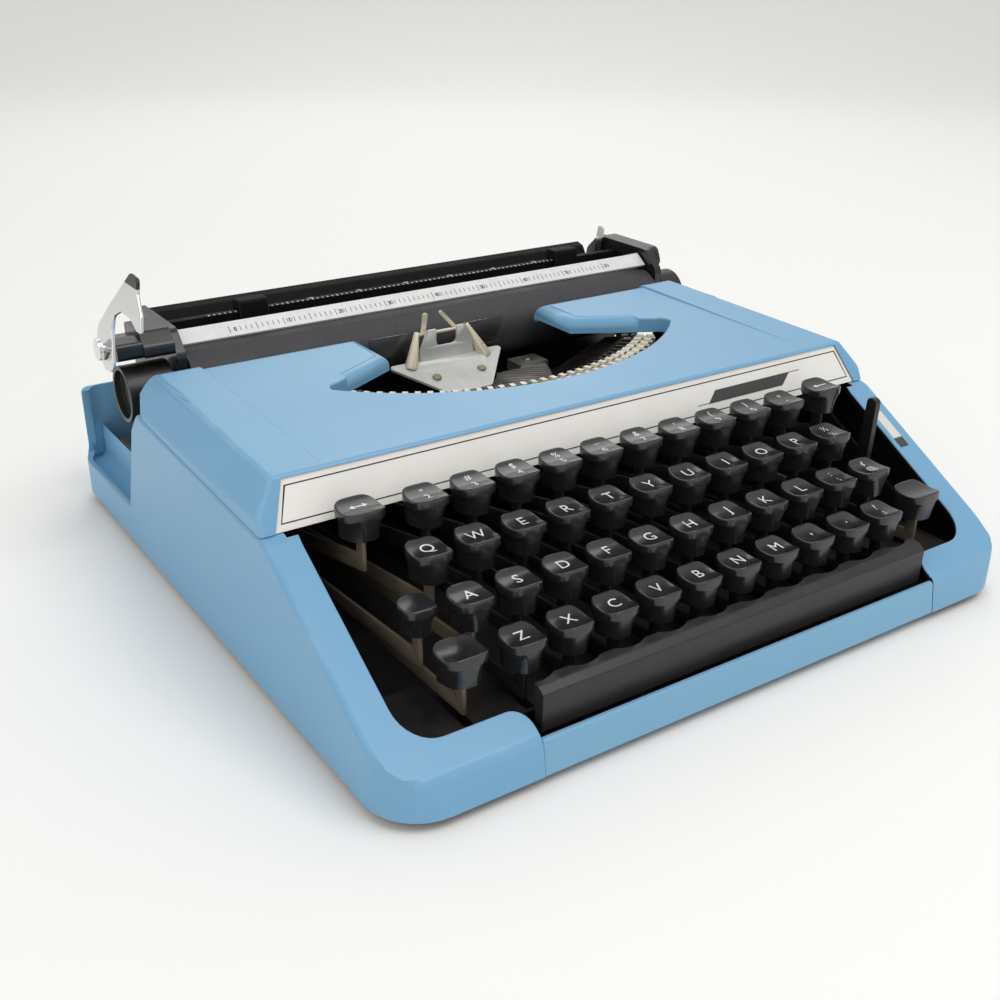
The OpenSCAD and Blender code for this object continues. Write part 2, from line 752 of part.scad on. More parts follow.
// Carriage
module end_plate(x) {
    shoe = shoe_w / 2;
    across(x, x + end_t) difference() {
        polygon(soft([
            [plate_front, platen_z - 6, 4], [plate_front, plate_top - 9, 6], [plate_front + 9, plate_top, 6],
            [plate_rear - 10, plate_top, 4], [plate_rear, plate_top - 9, 6], [plate_rear, platen_z - 10, 4],
            [track_y + shoe, track_z + 6, 2], [track_y + shoe, track_z + 1, 0],
            [track_y - shoe, track_z + 1, 0], [track_y - shoe, track_z + 10, 4],
            [platen_y + 3, platen_z - 15, 6]]));
        translate([platen_y, platen_z]) circle(shaft_r + run_gap);
    }
}
module carriage_frame() {
    color([0.09, 0.09, 0.10]) {
        end_plate(left_x - end_t);
        end_plate(right_x);
        // Shoe that rides on the carriage rail
        across(left_x - eps, right_x + eps) difference() {
            translate([track_y - shoe_w / 2, track_z - shoe_lap]) square([shoe_w, shoe_h]);
            translate([track_y - track_w / 2 - slide_gap, track_z - shoe_lap - 1])
                square([track_w + 2 * slide_gap, shoe_lap + 1 + slide_gap]);
        }
        // End castings
        across(left_x - end_t - casting_w, left_x - end_t + eps) polygon(soft([
            [rivet_y - 5.5, rivet_z - 6, 2], [rivet_y - 5.5, rivet_z - 1, 3], [rivet_y + 0.5, rivet_z + 4.5, 3],
            [rivet_y + 18.5, rivet_z + 4.5, 2], [rivet_y + 18.5, rivet_z - 6, 2]]));
        // Bracket that carries the line space lever
        across(arm_x + bracket_gap, left_x - end_t - casting_w + eps) polygon(soft([
            [rivet_y - 4, rivet_z - 6, 2], [rivet_y - 4, rivet_z + 1, 2], [rivet_y + 3, rivet_z + 2.5, 2],
            [rivet_y + 14, rivet_z + 1, 2], [rivet_y + 14, rivet_z - 6, 2]]));
        across(right_x + end_t - eps, right_x + end_t + 6) polygon(soft([
            [platen_y - 3, plate_top - 9, 3], [platen_y + 1, plate_top, 4], [plate_rear - 10, plate_top, 8],
            [plate_rear - 1, plate_top - 9, 6], [plate_rear - 1, platen_z - 6, 6],
            [platen_y + 13, platen_z - 6, 6], [platen_y + 13, platen_z + 12, 3]]));
        // Pins of the bail, the paper release and the line space lever
        rod(left_x - eps, left_x + 2 + arm_t, bail_y, bail_z, pin_r);
        rod(right_x - 2 - arm_t, right_x + eps, bail_y, bail_z, pin_r);
        rod(release_x - 0.6, right_x + eps, release_y, release_z, pin_r);
        rod(arm_x - rivet_out + eps, arm_x + 3, rivet_y, rivet_z, rivet_r);
        rod(arm_x - rivet_out, arm_x - rivet_out + rivet_head_t, rivet_y, rivet_z, rivet_head_r);
    }
}
module paper_table() {
    x0 = left_x + seat_gap;
    color([0.10, 0.10, 0.11]) {
        across(x0, right_x - 6) polygon(soft([
            [table_y, table_z + table_t, 0], [table_rear - 14, table_z + 7, 6],
            [table_rear - 7.5, table_z + 17, 2], [table_rear - 2, table_z + 18.5, 1],
            [table_rear, table_foot, 0], [table_rear - table_t, table_foot, 0],
            [table_rear - 3.8, table_z + 16, 0], [table_rear - 5.8, table_z + 15.4, 0],
            [table_rear - 12.6, table_z + 5, 6], [table_y, table_z, 0]]));
        // Rail with the margin scale
        across(x0, right_x - seat_gap)
            translate([margin_y - margin_d / 2, margin_z - margin_h]) square([margin_d, margin_h]);
    }
}
module platen() {
    color([0.22, 0.22, 0.23]) difference() {
        rod(left_x + 1, right_x - 1, platen_y, platen_z, platen_r);
        rod(left_x, right_x, platen_y, platen_z, shaft_r + seat_gap);
    }
}
module knob(x0, x1, hollow_x) {
    difference() {
        rod(x0, x1, platen_y, platen_z, knob_r);
        rod(hollow_x - knob_hollow, hollow_x + knob_hollow, platen_y, platen_z, knob_r - knob_wall);
        for (a = [0:flute_step:359])
            translate([x0 - 1, platen_y, platen_z]) rotate([a, 0, 0]) translate([0, knob_r + flute_r / 2, 0])
                rotate([0, 90, 0]) cylinder(h = x1 - x0 + 2, r = flute_r, $fn = 16);
    }
}
module platen_knobs() {
    left_end = left_x - end_t - left_knob_gap;
    right_end = right_x + end_t + right_knob_gap;
    color([0.07, 0.07, 0.07]) {
        rod(left_end - eps, right_end + eps, platen_y, platen_z, shaft_r);
        knob(left_end - left_knob_w, left_end, left_end - left_knob_w);
        knob(right_end, right_end + right_knob_w, right_end + right_knob_w);
    }
}
module paper_bail() {
    x0 = left_x + 1;
    x1 = right_x - 1;
    half = bail_w / 2;
    color([0.80, 0.80, 0.79]) {
        across(x0, x1) translate([bail_seat_y, bail_seat_z]) rotate(bail_tilt)
            square([bail_w, bail_t], center = true);
        for (x = [x0, x1 - arm_t]) across(x, x + arm_t) difference() {
            union() {
                polygon(soft([
                    [bail_seat_y - 0.85 * half, bail_seat_z - 0.68 * half, 0.6],
                    [bail_seat_y + 0.9 * half, bail_seat_z + 0.72 * half, 1],
                    [bail_y + pin_r, bail_z + pin_eye, 1], [bail_y + pin_r, bail_z - pin_eye, 1]]));
                translate([bail_y, bail_z]) circle(pin_eye);
            }
            translate([bail_y, bail_z]) circle(pin_r + run_gap);
        }
    }
}
module return_lever() {
    color([0.78, 0.78, 0.80]) difference() {
        // Curved plate with a finger arch, leaning in over the carriage end
        translate([arm_x, rivet_y, rivet_z]) rotate([0, arm_lean, 0]) across(-lever_plate_t, 0) polygon(soft([
            [-10.5, -7.5, 3], [-3.5, -8, 3], [9, -3, 6], [11.5, 6, 6], [0, 17.5, 14], [-15, 30.5, 6],
            [-20, 35, 3], [-28.5, 34.5, 2.5], [-30, 28.5, 3], [-36.5, 22, 6], [-38.8, 15.6, 1],
            [-33.8, 15.4, 1], [-26, 18.2, 8], [-14, 18.4, 6], [-6.2, 14.5, 3], [-6.4, 9, 4], [-12, -4, 3]]));
        rod(arm_x - rivet_out, arm_x + 3, rivet_y, rivet_z, rivet_r + run_gap);
    }
}
module paper_release() {
    tip = release_z + release_l;
    color([0.78, 0.78, 0.80]) across(release_x, release_x + arm_t) difference() {
        union() {
            polygon(soft([
                [release_y - pin_eye, release_z, 0], [release_y + pin_eye, release_z, 0],
                [release_y - 1, tip, 1.5], [release_y - 5, tip, 1.5]]));
            translate([release_y, release_z]) circle(pin_eye);
        }
        translate([release_y, release_z]) circle(pin_r + run_gap);
    }
}
module margin_stop(x) {
    half = margin_d / 2 + 2.5;
    color([0.12, 0.12, 0.13]) across(x - stop_l / 2, x + stop_l / 2) difference() {
        polygon(soft([
            [margin_y - half, margin_z - 4, 1], [margin_y + half, margin_z - 4, 1],
            [margin_y + half - 0.5, margin_z + 5, 1.5], [margin_y - half + 0.5, margin_z + 5, 1.5]]));
        translate([margin_y - margin_d / 2 - slide_gap, margin_z - margin_h])
            square([margin_d + 2 * slide_gap, margin_h + slide_gap]);
    }
}
module margin_stop_left() { margin_stop(left_x + stop_at[0]); }
module margin_stop_right() { margin_stop(right_x - stop_at[1]); }

// Keys
function cap_profile(half, h) = soft([
    [-half + cap_draft, 0, 0], [half - cap_draft, 0, 0], [half - cap_draft, waist, 6], [half, h - cap_rim, 1.2],
    [half - 0.6, h, 0], [-half + 0.6, h, 0], [-half, h - cap_rim, 1.2], [-half + cap_draft, waist, 6]], 2);
module cap(w, d, h) {
    difference() {
        intersection() {
            linear_extrude(h) polygon(soft([
                [-w / 2, -d / 2, cap_r], [w / 2, -d / 2, cap_r],
                [w / 2, d / 2, cap_r], [-w / 2, d / 2, cap_r]], 4));
            along(-d, d) polygon(cap_profile(w / 2, h));
            across(-w, w) polygon(cap_profile(d / 2, h));
        }
        rod(-w, w, 1, h + dish_r - dish_depth, dish_r);
        translate([-lever_t / 2 - seat_gap, -tang_d / 2 - seat_gap, -1])
            cube([lever_t + 2 * seat_gap, tang_d + 2 * seat_gap, 1 + tang_in + seat_gap]);
    }
}
module lever(x, y, z) {
    across(x - lever_t / 2, x + lever_t / 2) difference() {
        union() {
            polygon([
                [y - tang_d / 2, z - lever_drop - lever_h], [fulcrum_y, fulcrum_z - lever_h / 2],
                [fulcrum_y, fulcrum_z + lever_h / 2], [y + tang_d / 2, z - lever_drop],
                [y + tang_d / 2, z + tang_in], [y - tang_d / 2, z + tang_in]]);
            translate([fulcrum_y, fulcrum_z]) circle(hub_r);
        }
        translate([fulcrum_y, fulcrum_z]) circle(fulcrum_r + run_gap);
    }
}
module key(x, y, z, w, d) {
    color([0.05, 0.05, 0.05]) translate([x, y, z - cap_h]) cap(w, d, cap_h);
    color([0.40, 0.40, 0.41]) lever(x, y, z - cap_h);
}
module row_key(r, i) {
    key(row_start(r) + i * key_pitch, row_y[r], row_z[r], cap_w, cap_d);
}
module number_keys() {
    for (i = [0:len(row_keys[0]) - 1]) row_key(0, i);
}
module side_key(k) {
    key(k[0].x, k[0].y, k[0].z, k[1].x, k[1].y);
}
module margin_release_key() { side_key(release_key); }
module backspace_key() { side_key(back_key); }
module shift_lock() { side_key(lock_key); }
module shift_keys() {
    ends = [left_shift[0].x, right_shift[0].x];
    side_key(left_shift);
    side_key(right_shift);
    // Rod that ties the two shift levers together
    color([0.40, 0.40, 0.41]) {
        rod(ends[0], ends[1], tie_y, tie_z, tie_r);
        for (x = ends) across(x - lever_t / 2, x + lever_t / 2) polygon([
            [tie_y - 2 * tie_r, tie_z - 1.2], [tie_y + 2 * tie_r, tie_z - 1.2],
            [tie_y + 4 * tie_r, fulcrum_z - 1], [tie_y - 2.5 * tie_r, fulcrum_z - 1]]);
    }
}
module space_bar() {
    rear = bar_y + bar_d;
    skin = bar_y + bar_skin + 0.5;
    color([0.27, 0.27, 0.27]) difference() {
        across(slot_left + bar_gap_left, slot_right - bar_gap_right) polygon(soft([
            [bar_y + 0.5, bar_foot, 0.6], [skin, bar_foot, 0.6], [skin, bar_top - 6, 3],
            [rear, bar_top - 3, 0.5], [rear, bar_top, 0.8], [bar_y + 3, bar_top - 0.4, 2],
            [bar_y, bar_top - 2.5, 1]]));
        for (i = [0:len(row_keys[3]) - 1])
            translate([key_x0 + i * key_pitch, row_y[3], 0]) cylinder(h = 2 * bar_top, r = scallop_r);
        for (x = bar_arms) across(x - lever_t / 2 - seat_gap, x + lever_t / 2 + seat_gap)
            translate([bar_y + 1.5 - seat_gap, 0]) square([20, bar_arm_z + lever_h + bar_tang + seat_gap]);
    }
    color([0.40, 0.40, 0.41]) for (x = bar_arms) across(x - lever_t / 2, x + lever_t / 2) difference() {
        union() {
            polygon([
                [bar_y + 1.5, bar_arm_z], [fulcrum_y, fulcrum_z - lever_h / 2],
                [fulcrum_y, fulcrum_z + lever_h / 2], [skin, bar_arm_z + lever_h],
                [skin, bar_arm_z + lever_h + bar_tang], [bar_y + 1.5, bar_arm_z + lever_h + bar_tang]]);
            translate([fulcrum_y, fulcrum_z]) circle(hub_r);
        }
        translate([fulcrum_y, fulcrum_z]) circle(fulcrum_r + run_gap);
    }
}
module ribbon_selector() {
    tip_y = selector_y - selector_lean;
    color([0.08, 0.08, 0.08]) across(selector_x - selector_t / 2, selector_x + selector_t / 2) difference() {
        union() {
            polygon(soft([
                [selector_y - 3.5, selector_z, 0], [selector_y + 3.5, selector_z, 0],
                [tip_y + 2.5, selector_tip, 2], [tip_y - 2.5, selector_tip, 2]]));
            translate([selector_y, selector_z]) circle(selector_eye);
        }
        translate([selector_y, selector_z]) circle(selector_pin_r + run_gap);
    }
}

base_shell();
front_strip();
bottom_pan();
rubber_feet();
chassis_frame();
type_segment();
typebars();
type_guide();
top_cover();
fascia();
ribbon_spool_left();
ribbon_spool_right();
carriage_frame();
paper_table();
platen();
platen_knobs();
paper_bail();
return_lever();
paper_release();
margin_stop_left();
margin_stop_right();
space_bar();
shift_keys();
shift_lock();
margin_release_key();
backspace_key();
ribbon_selector();
number_keys();
for (k = letter_keys) row_key(k[1], k[2]);
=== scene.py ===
"""Finishes, legends and small fittings of a portable typewriter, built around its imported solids."""

import json
import math
from functools import partial

import bmesh
import bpy
from bpy.props import FloatProperty, FloatVectorProperty, IntProperty, PointerProperty
from mathutils import Matrix, Vector


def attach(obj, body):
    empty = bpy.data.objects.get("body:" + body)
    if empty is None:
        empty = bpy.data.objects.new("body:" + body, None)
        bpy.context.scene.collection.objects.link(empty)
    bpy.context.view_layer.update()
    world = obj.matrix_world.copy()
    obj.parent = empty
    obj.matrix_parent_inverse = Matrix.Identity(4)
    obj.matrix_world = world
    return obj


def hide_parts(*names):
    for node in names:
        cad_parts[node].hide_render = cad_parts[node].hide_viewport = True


bl_info = {
    "name": "Portable Typewriter",
    "version": (1, 0, 0),
    "blender": (4, 5, 0),
    "location": "View3D > Sidebar > Typewriter",
    "description": "Dresses the typewriter's solids with finishes, key legends, scales and fittings",
    "category": "Object",
}

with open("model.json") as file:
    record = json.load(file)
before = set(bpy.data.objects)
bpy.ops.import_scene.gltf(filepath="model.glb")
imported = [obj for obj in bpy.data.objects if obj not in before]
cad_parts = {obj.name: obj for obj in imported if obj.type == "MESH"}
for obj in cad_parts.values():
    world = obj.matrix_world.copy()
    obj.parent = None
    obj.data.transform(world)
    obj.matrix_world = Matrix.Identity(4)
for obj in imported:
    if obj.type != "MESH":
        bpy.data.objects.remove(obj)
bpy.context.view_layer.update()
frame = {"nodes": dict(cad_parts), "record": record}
NODES = frame["nodes"]
BODY_OF = {node: body for body, nodes in frame["record"]["behaviour"]["bodies"].items() for node in nodes}
MM = 0.001


def mm(x, y, z):
    """A point or a size given in millimetres."""
    return Vector((x, y, z)) * MM


def paint(red, green, blue):
    """Turns a display colour of 0 to 255 into the linear values that shaders use."""
    shares = (red / 255, green / 255, blue / 255)
    return tuple(c / 12.92 if c <= 0.04045 else ((c + 0.055) / 1.055) ** 2.4 for c in shares)


# Sizes and colours that a user would change


def colour_property(name, description, *display):
    return FloatVectorProperty(
        name=name, description=description, default=paint(*display), min=0.0, max=1.0, size=3, subtype="COLOR"
    )


def length_property(name, description, millimetres):
    return FloatProperty(
        name=name, description=description, default=millimetres * MM, min=0.0, precision=5,
        subtype="DISTANCE", unit="LENGTH",
    )


def angle_property(name, description, degrees):
    return FloatProperty(
        name=name, description=description, default=math.radians(degrees), subtype="ANGLE", unit="ROTATION"
    )


def count_property(name, description, default):
    return IntProperty(name=name, description=description, default=default, min=2)


class TypewriterColours(bpy.types.PropertyGroup):
    """Colours of the typewriter's finishes"""

    shell: colour_property("Shell", "Moulded blue shell and cover", 116, 167, 201)
    # A little lighter than the shell's blue as painted light on the strip's front face; the real strip is the
    # shell's blue
    strip: colour_property("Front strip", "Front wall between the corner tabs", 121, 170, 200)
    fascia: colour_property("Fascia", "Satin panel on the front of the cover", 240, 237, 230)
    keys: colour_property("Keys", "Gloss key caps", 34, 33, 34)
    legend: colour_property("Legends", "Letters and figures on the keys", 226, 226, 224)
    bar: colour_property("Space bar", "Dark grey space bar", 45, 43, 44)
    frame: colour_property("Frame", "Black enamel of the carriage", 22, 22, 23)
    platen: colour_property("Platen", "Rubber of the platen", 58, 57, 59)
    scale: colour_property("Scale", "Bright strip of the paper bail", 232, 231, 228)
    cones: colour_property("Guide", "Warm nickel of the ribbon cones and fingers", 212, 202, 178)


class TypewriterSizes(bpy.types.PropertyGroup):
    """Sizes of the typewriter's dressed details"""

    shell_round: length_property("Shell edge", "Rounding of the shell's outer edges", 2.2)
    cover_round: length_property("Cover edge", "Rounding of the cover's outer edges", 1.6)
    mouth_round: length_property("Mouth edge", "Rounding of the edges of wells and openings", 0.7)
    letter: length_property("Letter height", "Height of the single letters on the keys", 5.0)
    figure: length_property("Figure height", "Height of stacked figures and signs", 3.5)
    tick_pitch: length_property("Scale pitch", "Distance between two ticks of the scales", 2.54)
    tick_width: length_property("Tick width", "Width of a tick on the bail's scale", 0.26)
    tick_count: count_property("Ticks", "Number of ticks on each scale", 81)
    type_count: count_property("Type heads", "Number of typebars in the basket", 42)
    type_span: angle_property("Basket angle", "Angle that the typebars fan across", 136)
    type_raised: angle_property("Raised angle", "Angle across which the type heads stand up", 106)


def colours():
    return bpy.context.scene.typewriter_colours


def sizes():
    return bpy.context.scene.typewriter_sizes


# Node tree helpers

SHADER, GEOMETRY = "ShaderNodeTree", "GeometryNodeTree"
COLOUR, FLOAT, VECTOR, COUNT = "NodeSocketColor", "NodeSocketFloat", "NodeSocketVector", "NodeSocketInt"
SHAPE, MATERIAL, MESH = "NodeSocketObject", "NodeSocketMaterial", "NodeSocketGeometry"


def new_tree(kind, name, ins, outs):
    """Makes a node tree and returns it with the sockets of its input and its output node."""
    tree = bpy.data.node_groups.new(name, kind)
    for way, sockets in (("INPUT", ins), ("OUTPUT", outs)):
        for label, socket in sockets.items():
            tree.interface.new_socket(name=label, in_out=way, socket_type=socket)
    return tree, tree.nodes.new("NodeGroupInput").outputs, tree.nodes.new("NodeGroupOutput")


def set_inputs(tree, node, inputs):
    """Links the sockets among the inputs to a node, and sets the plain values."""
    for key, value in inputs.items():
        if isinstance(value, bpy.types.NodeSocket):
            tree.links.new(value, node.inputs[key])
        else:
            node.inputs[key].default_value = value


def add_node(tree, kind, inputs=None, **settings):
    node = tree.nodes.new(kind)
    for key, value in settings.items():
        setattr(node, key, value)
    set_inputs(tree, node, inputs or {})
    return node


def maths(tree, operation, *values):
    return add_node(tree, "ShaderNodeMath", dict(enumerate(values)), operation=operation).outputs[0]


def ranged(tree, value, low, high, to=(0.0, 1.0)):
    """A value that goes from one end to the other while its source goes from low to high."""
    ends = {"Value": value, "From Min": low, "From Max": high, "To Min": to[0], "To Max": to[1]}
    return add_node(tree, "ShaderNodeMapRange", ends).outputs[0]


# Shader node groups that several finishes share

# Face attribute that marks rounded edges
EDGE = "edge"


def object_noise(tree, scale, detail=4.0, rough=0.55, stretch=None):
    where = add_node(tree, "ShaderNodeTexCoord").outputs["Object"]
    if stretch is not None:
        where = add_node(tree, "ShaderNodeMapping", {"Vector": where, "Scale": stretch}).outputs[0]
    inputs = {"Vector": where, "Scale": scale, "Detail": detail, "Roughness": rough}
    return add_node(tree, "ShaderNodeTexNoise", inputs).outputs["Fac"]


def mottle_group():
    """Slow change of shade over a surface."""
    ins = {"Colour": COLOUR, "Scale": FLOAT, "Spread": FLOAT}
    tree, start, end = new_tree(SHADER, "Mottle", ins, {"Colour": COLOUR, "Mask": FLOAT})
    noise = object_noise(tree, start["Scale"])
    value = maths(tree, "MULTIPLY_ADD", maths(tree, "SUBTRACT", noise, 0.5), start["Spread"], 1.0)
    shade = add_node(tree, "ShaderNodeHueSaturation", {"Color": start["Colour"], "Value": value})
    set_inputs(tree, end, {"Colour": shade.outputs["Color"], "Mask": noise})
    return tree


def layer_group(name, where, low, high, detail, rough):
    """A second colour laid over the first in patches, where a mask lets it."""
    ins = {"Colour": COLOUR, "Over": COLOUR, "Amount": FLOAT, "Scale": FLOAT}
    tree, start, end = new_tree(SHADER, name, ins, {"Colour": COLOUR, "Mask": FLOAT})
    patch = ranged(tree, object_noise(tree, start["Scale"], detail, rough), low, high)
    mask = maths(tree, "MULTIPLY", maths(tree, "MULTIPLY", patch, where(tree)), start["Amount"])
    layers = {"Fac": mask, "Color1": start["Colour"], "Color2": start["Over"]}
    mix = add_node(tree, "ShaderNodeMixRGB", layers)
    set_inputs(tree, end, {"Colour": mix.outputs[0], "Mask": mask})
    return tree


def facing_up(tree):
    normal = add_node(tree, "ShaderNodeNewGeometry").outputs["Normal"]
    parts = add_node(tree, "ShaderNodeSeparateXYZ", {0: normal})
    return ranged(tree, parts.outputs["Z"], 0.1, 0.9)


def rounded_edge(tree):
    mark = add_node(tree, "ShaderNodeAttribute", attribute_type="GEOMETRY", attribute_name=EDGE)
    return mark.outputs["Fac"]


def dust_group():
    """Dust that settles in patches on faces that look up."""
    return layer_group("Dust", facing_up, 0.38, 0.72, 8.0, 0.7)


def wear_and_highlight_group():
    """Paler colour along rounded edges: worn enamel on the blacks, a painted highlight on the blues."""
    return layer_group("Edge Wear And Highlight", rounded_edge, 0.42, 0.7, 6.0, 0.65)


def grain_group():
    """Fine relief, drawn out along an axis where the metal is brushed."""
    tree, start, end = new_tree(SHADER, "Grain", {"Scale": FLOAT, "Stretch": VECTOR}, {"Height": FLOAT})
    set_inputs(tree, end, {"Height": object_noise(tree, start["Scale"], 3.0, 0.6, start["Stretch"])})
    return tree


GROUPS = {"Mottle": mottle_group, "Dust": dust_group, "Edge Wear And Highlight": wear_and_highlight_group, "Grain": grain_group}


def place_group(tree, name, inputs):
    group = bpy.data.node_groups.get(name) or GROUPS[name]()
    return add_node(tree, "ShaderNodeGroup", inputs, node_tree=group).outputs


# Finishes

# Start of the finishes' names, which keeps them apart from the solids' own materials
FINISH = "finish_"
# Depth of the fine relief, how much dust dulls a surface, and the roughness of a clear coat
RELIEF = 0.2 * MM
DUST_DULLS = 0.45
COAT_ROUGH = 0.12

# Each finish: its colour or the property that holds it, its roughness, the scale and spread of its shade,
# the scale and strength of its relief, and what else it has. Dust, and wear or painted highlight along
# rounded
# edges: a colour, an amount and a scale
FINISHES = {
    # Paler blue along the shell's rounded edges is a painted highlight
    "shell_blue": ("shell", 0.34, (14, 0.06), (1500, 0.05), dict(
        dust=((160, 172, 176), 0.06, 60), wear_and_highlight=((176, 202, 220), 0.16, 60), specular=0.4)),
    # The strip's blue is lightened as painted light on its front face, and the paler blue along its edges is
    # a painted highlight
    "strip_blue_lightened": ("strip", 0.33, (18, 0.06), (1500, 0.06), dict(
        wear_and_highlight=((176, 202, 220), 0.3, 60), specular=0.4)),
    # Near black on the shell's undersides and in its wells is painted shade; the real inside is the shell's
    # blue
    "shell_painted_shade": ((17, 17, 18), 0.6, (40, 0.3), (900, 0.1), dict(
        dust=((58, 54, 50), 0.25, 110), specular=0.3)),
    "fascia_silver": ("fascia", 0.36, (22, 0.07), (700, 0.05), dict(
        stretch=(0.05, 1, 1), dust=((196, 186, 170), 0.2, 70))),
    "key_black": ("keys", 0.2, (120, 0.25), (1100, 0.03), dict(dust=((84, 82, 79), 0.1, 260), coat=0.25)),
    "legend_white": ("legend", 0.45, (300, 0.15), (2500, 0.05), {}),
    "bar_grey": ("bar", 0.34, (60, 0.22), (1200, 0.05), dict(dust=((92, 88, 84), 0.12, 160), specular=0.35)),
    "knob_black": ((27, 27, 28), 0.36, (80, 0.25), (1000, 0.06), dict(dust=((80, 78, 75), 0.14, 150))),
    "enamel_black": ("frame", 0.3, (70, 0.3), (900, 0.06), dict(
        dust=((88, 85, 81), 0.12, 170), wear_and_highlight=((120, 117, 112), 0.3, 220), coat=0.15)),
    "table_black": ((15, 15, 16), 0.6, (60, 0.3), (1200, 0.08), dict(
        dust=((70, 68, 66), 0.06, 170), wear_and_highlight=((90, 88, 85), 0.3, 220), specular=0.12)),
    "frame_dusty": ((19, 18, 18), 0.55, (70, 0.4), (900, 0.15), dict(
        dust=((66, 59, 51), 0.4, 120), specular=0.3)),
    "platen_rubber": ("platen", 0.52, (55, 0.16), (1600, 0.12), dict(
        stretch=(0.3, 1, 1), dust=((120, 118, 116), 0.14, 420), specular=0.35)),
    "rubber_black": ((30, 30, 30), 0.7, (90, 0.2), (1400, 0.25), dict(specular=0.3)),
    "steel": ((178, 175, 169), 0.36, (90, 0.3), (1500, 0.08), dict(
        metallic=0.8, rough_spread=0.12, stretch=(1, 1, 0.2), dust=((92, 82, 68), 0.25, 240))),
    "typebar_steel": ((62, 59, 56), 0.42, (160, 0.5), (1500, 0.08), dict(
        metallic=0.7, rough_spread=0.12, stretch=(1, 1, 0.2), dust=((58, 51, 42), 0.4, 240))),
    "lever_steel": ((58, 54, 49), 0.5, (120, 0.5), (900, 0.15), dict(
        metallic=0.6, rough_spread=0.12, stretch=(1, 0.15, 1), dust=((96, 86, 72), 0.35, 160))),
    "lever_tan": ((128, 116, 99), 0.5, (120, 0.5), (900, 0.15), dict(
        metallic=0.3, rough_spread=0.12, stretch=(1, 0.15, 1), dust=((150, 136, 116), 0.35, 160))),
    "guide_nickel": ((200, 201, 196), 0.36, (110, 0.18), (1500, 0.05), dict(
        metallic=0.4, rough_spread=0.1, dust=((130, 118, 100), 0.15, 260))),
    "cone_nickel": ("cones", 0.32, (160, 0.2), (1500, 0.04), dict(metallic=0.3, rough_spread=0.1)),
    "type_steel": ((196, 190, 176), 0.26, (300, 0.4), (1800, 0.06), dict(
        metallic=0.85, rough_spread=0.12, dust=((84, 74, 58), 0.35, 500))),
    "chrome": ((226, 226, 226), 0.18, (60, 0.08), (1600, 0.02), dict(metallic=1.0, rough_spread=0.05)),
    "scale_white": ("scale", 0.38, (70, 0.12), (1200, 0.05), dict(
        metallic=0.2, stretch=(0.08, 1, 1), dust=((140, 136, 128), 0.2, 220))),
    "mark_black": ((34, 34, 36), 0.5, (300, 0.2), (2500, 0.05), {}),
    "mark_white": ((220, 218, 212), 0.5, (300, 0.12), (2500, 0.05), {}),
    "badge_grey": ((64, 63, 62), 0.45, (120, 0.2), (1800, 0.05), {}),
    "clear_plastic": ((226, 228, 228), 0.12, (90, 0.05), (1200, 0.02), dict(rough_spread=0.05, clear=1.0)),
    "screw_steel": ((150, 138, 118), 0.38, (500, 0.4), (2200, 0.08), dict(metallic=0.8, rough_spread=0.12)),
}


def rgba(colour):
    return (*colour[:3], 1.0)


def over(surface, colour, amount, scale):
    return {"Colour": surface, "Over": rgba(paint(*colour)), "Amount": amount, "Scale": scale}


def make_finish(
    name, colour, rough, mottle, grain, metallic=0.0, rough_spread=0.06, stretch=(1, 1, 1), dust=None,
    wear_and_highlight=None, coat=0.0, specular=0.5, clear=0.0,
):
    """Builds one finish: shade and gloss that vary, fine relief, and dust and wear or painted highlight where
    they are given.
    """
    mat = bpy.data.materials.new(FINISH + name)
    mat.use_nodes = True
    tree = mat.node_tree
    shade = place_group(tree, "Mottle", {"Colour": rgba(colour), "Scale": mottle[0], "Spread": mottle[1]})
    surface = shade["Colour"]
    gloss = ranged(tree, shade["Mask"], 0.3, 0.7, (max(rough - rough_spread, 0.02), rough + rough_spread))
    # Paler colour along rounded edges: worn enamel on the black finishes, a painted highlight on the blue
    # ones
    if wear_and_highlight:
        surface = place_group(tree, "Edge Wear And Highlight", over(surface, *wear_and_highlight))["Colour"]
    if dust:
        settled = place_group(tree, "Dust", over(surface, *dust))
        surface = settled["Colour"]
        gloss = maths(tree, "MULTIPLY_ADD", settled["Mask"], DUST_DULLS, gloss)
    relief = place_group(tree, "Grain", {"Scale": grain[0], "Stretch": stretch})["Height"]
    bump = add_node(tree, "ShaderNodeBump", {"Strength": grain[1], "Distance": RELIEF, "Height": relief})
    set_inputs(tree, tree.nodes["Principled BSDF"], {
        "Base Color": surface, "Roughness": gloss, "Normal": bump.outputs["Normal"], "Metallic": metallic,
        "Coat Weight": coat, "Coat Roughness": COAT_ROUGH, "Specular IOR Level": specular,
        "Transmission Weight": clear,
    })
    return mat


def finish(name):
    """Returns a named finish, building it the first time it is asked for."""
    found = bpy.data.materials.get(FINISH + name)
    if found:
        return found
    colour, rough, mottle, grain, more = FINISHES[name]
    colour = getattr(colours(), colour) if isinstance(colour, str) else paint(*colour)
    return make_finish(name, colour, rough, mottle, grain, **more)


# Mesh helpers

# Angles in degrees above which an edge counts as sharp, and above which it is shaded as one
SHARP = 32
SMOOTH = 34


def placed(name, data):
    """A new object in the scene."""
    obj = bpy.data.objects.new(name, data)
    bpy.context.scene.collection.objects.link(obj)
    return obj


def mesh_from(name, bm):
    mesh = bpy.data.meshes.new(name)
    bm.to_mesh(mesh)
    bm.free()
    return mesh


def final_mesh(obj):
    """An object's evaluated mesh as a plain one."""
    bpy.context.view_layer.update()
    return bpy.data.meshes.new_from_object(obj.evaluated_get(bpy.context.evaluated_depsgraph_get()))


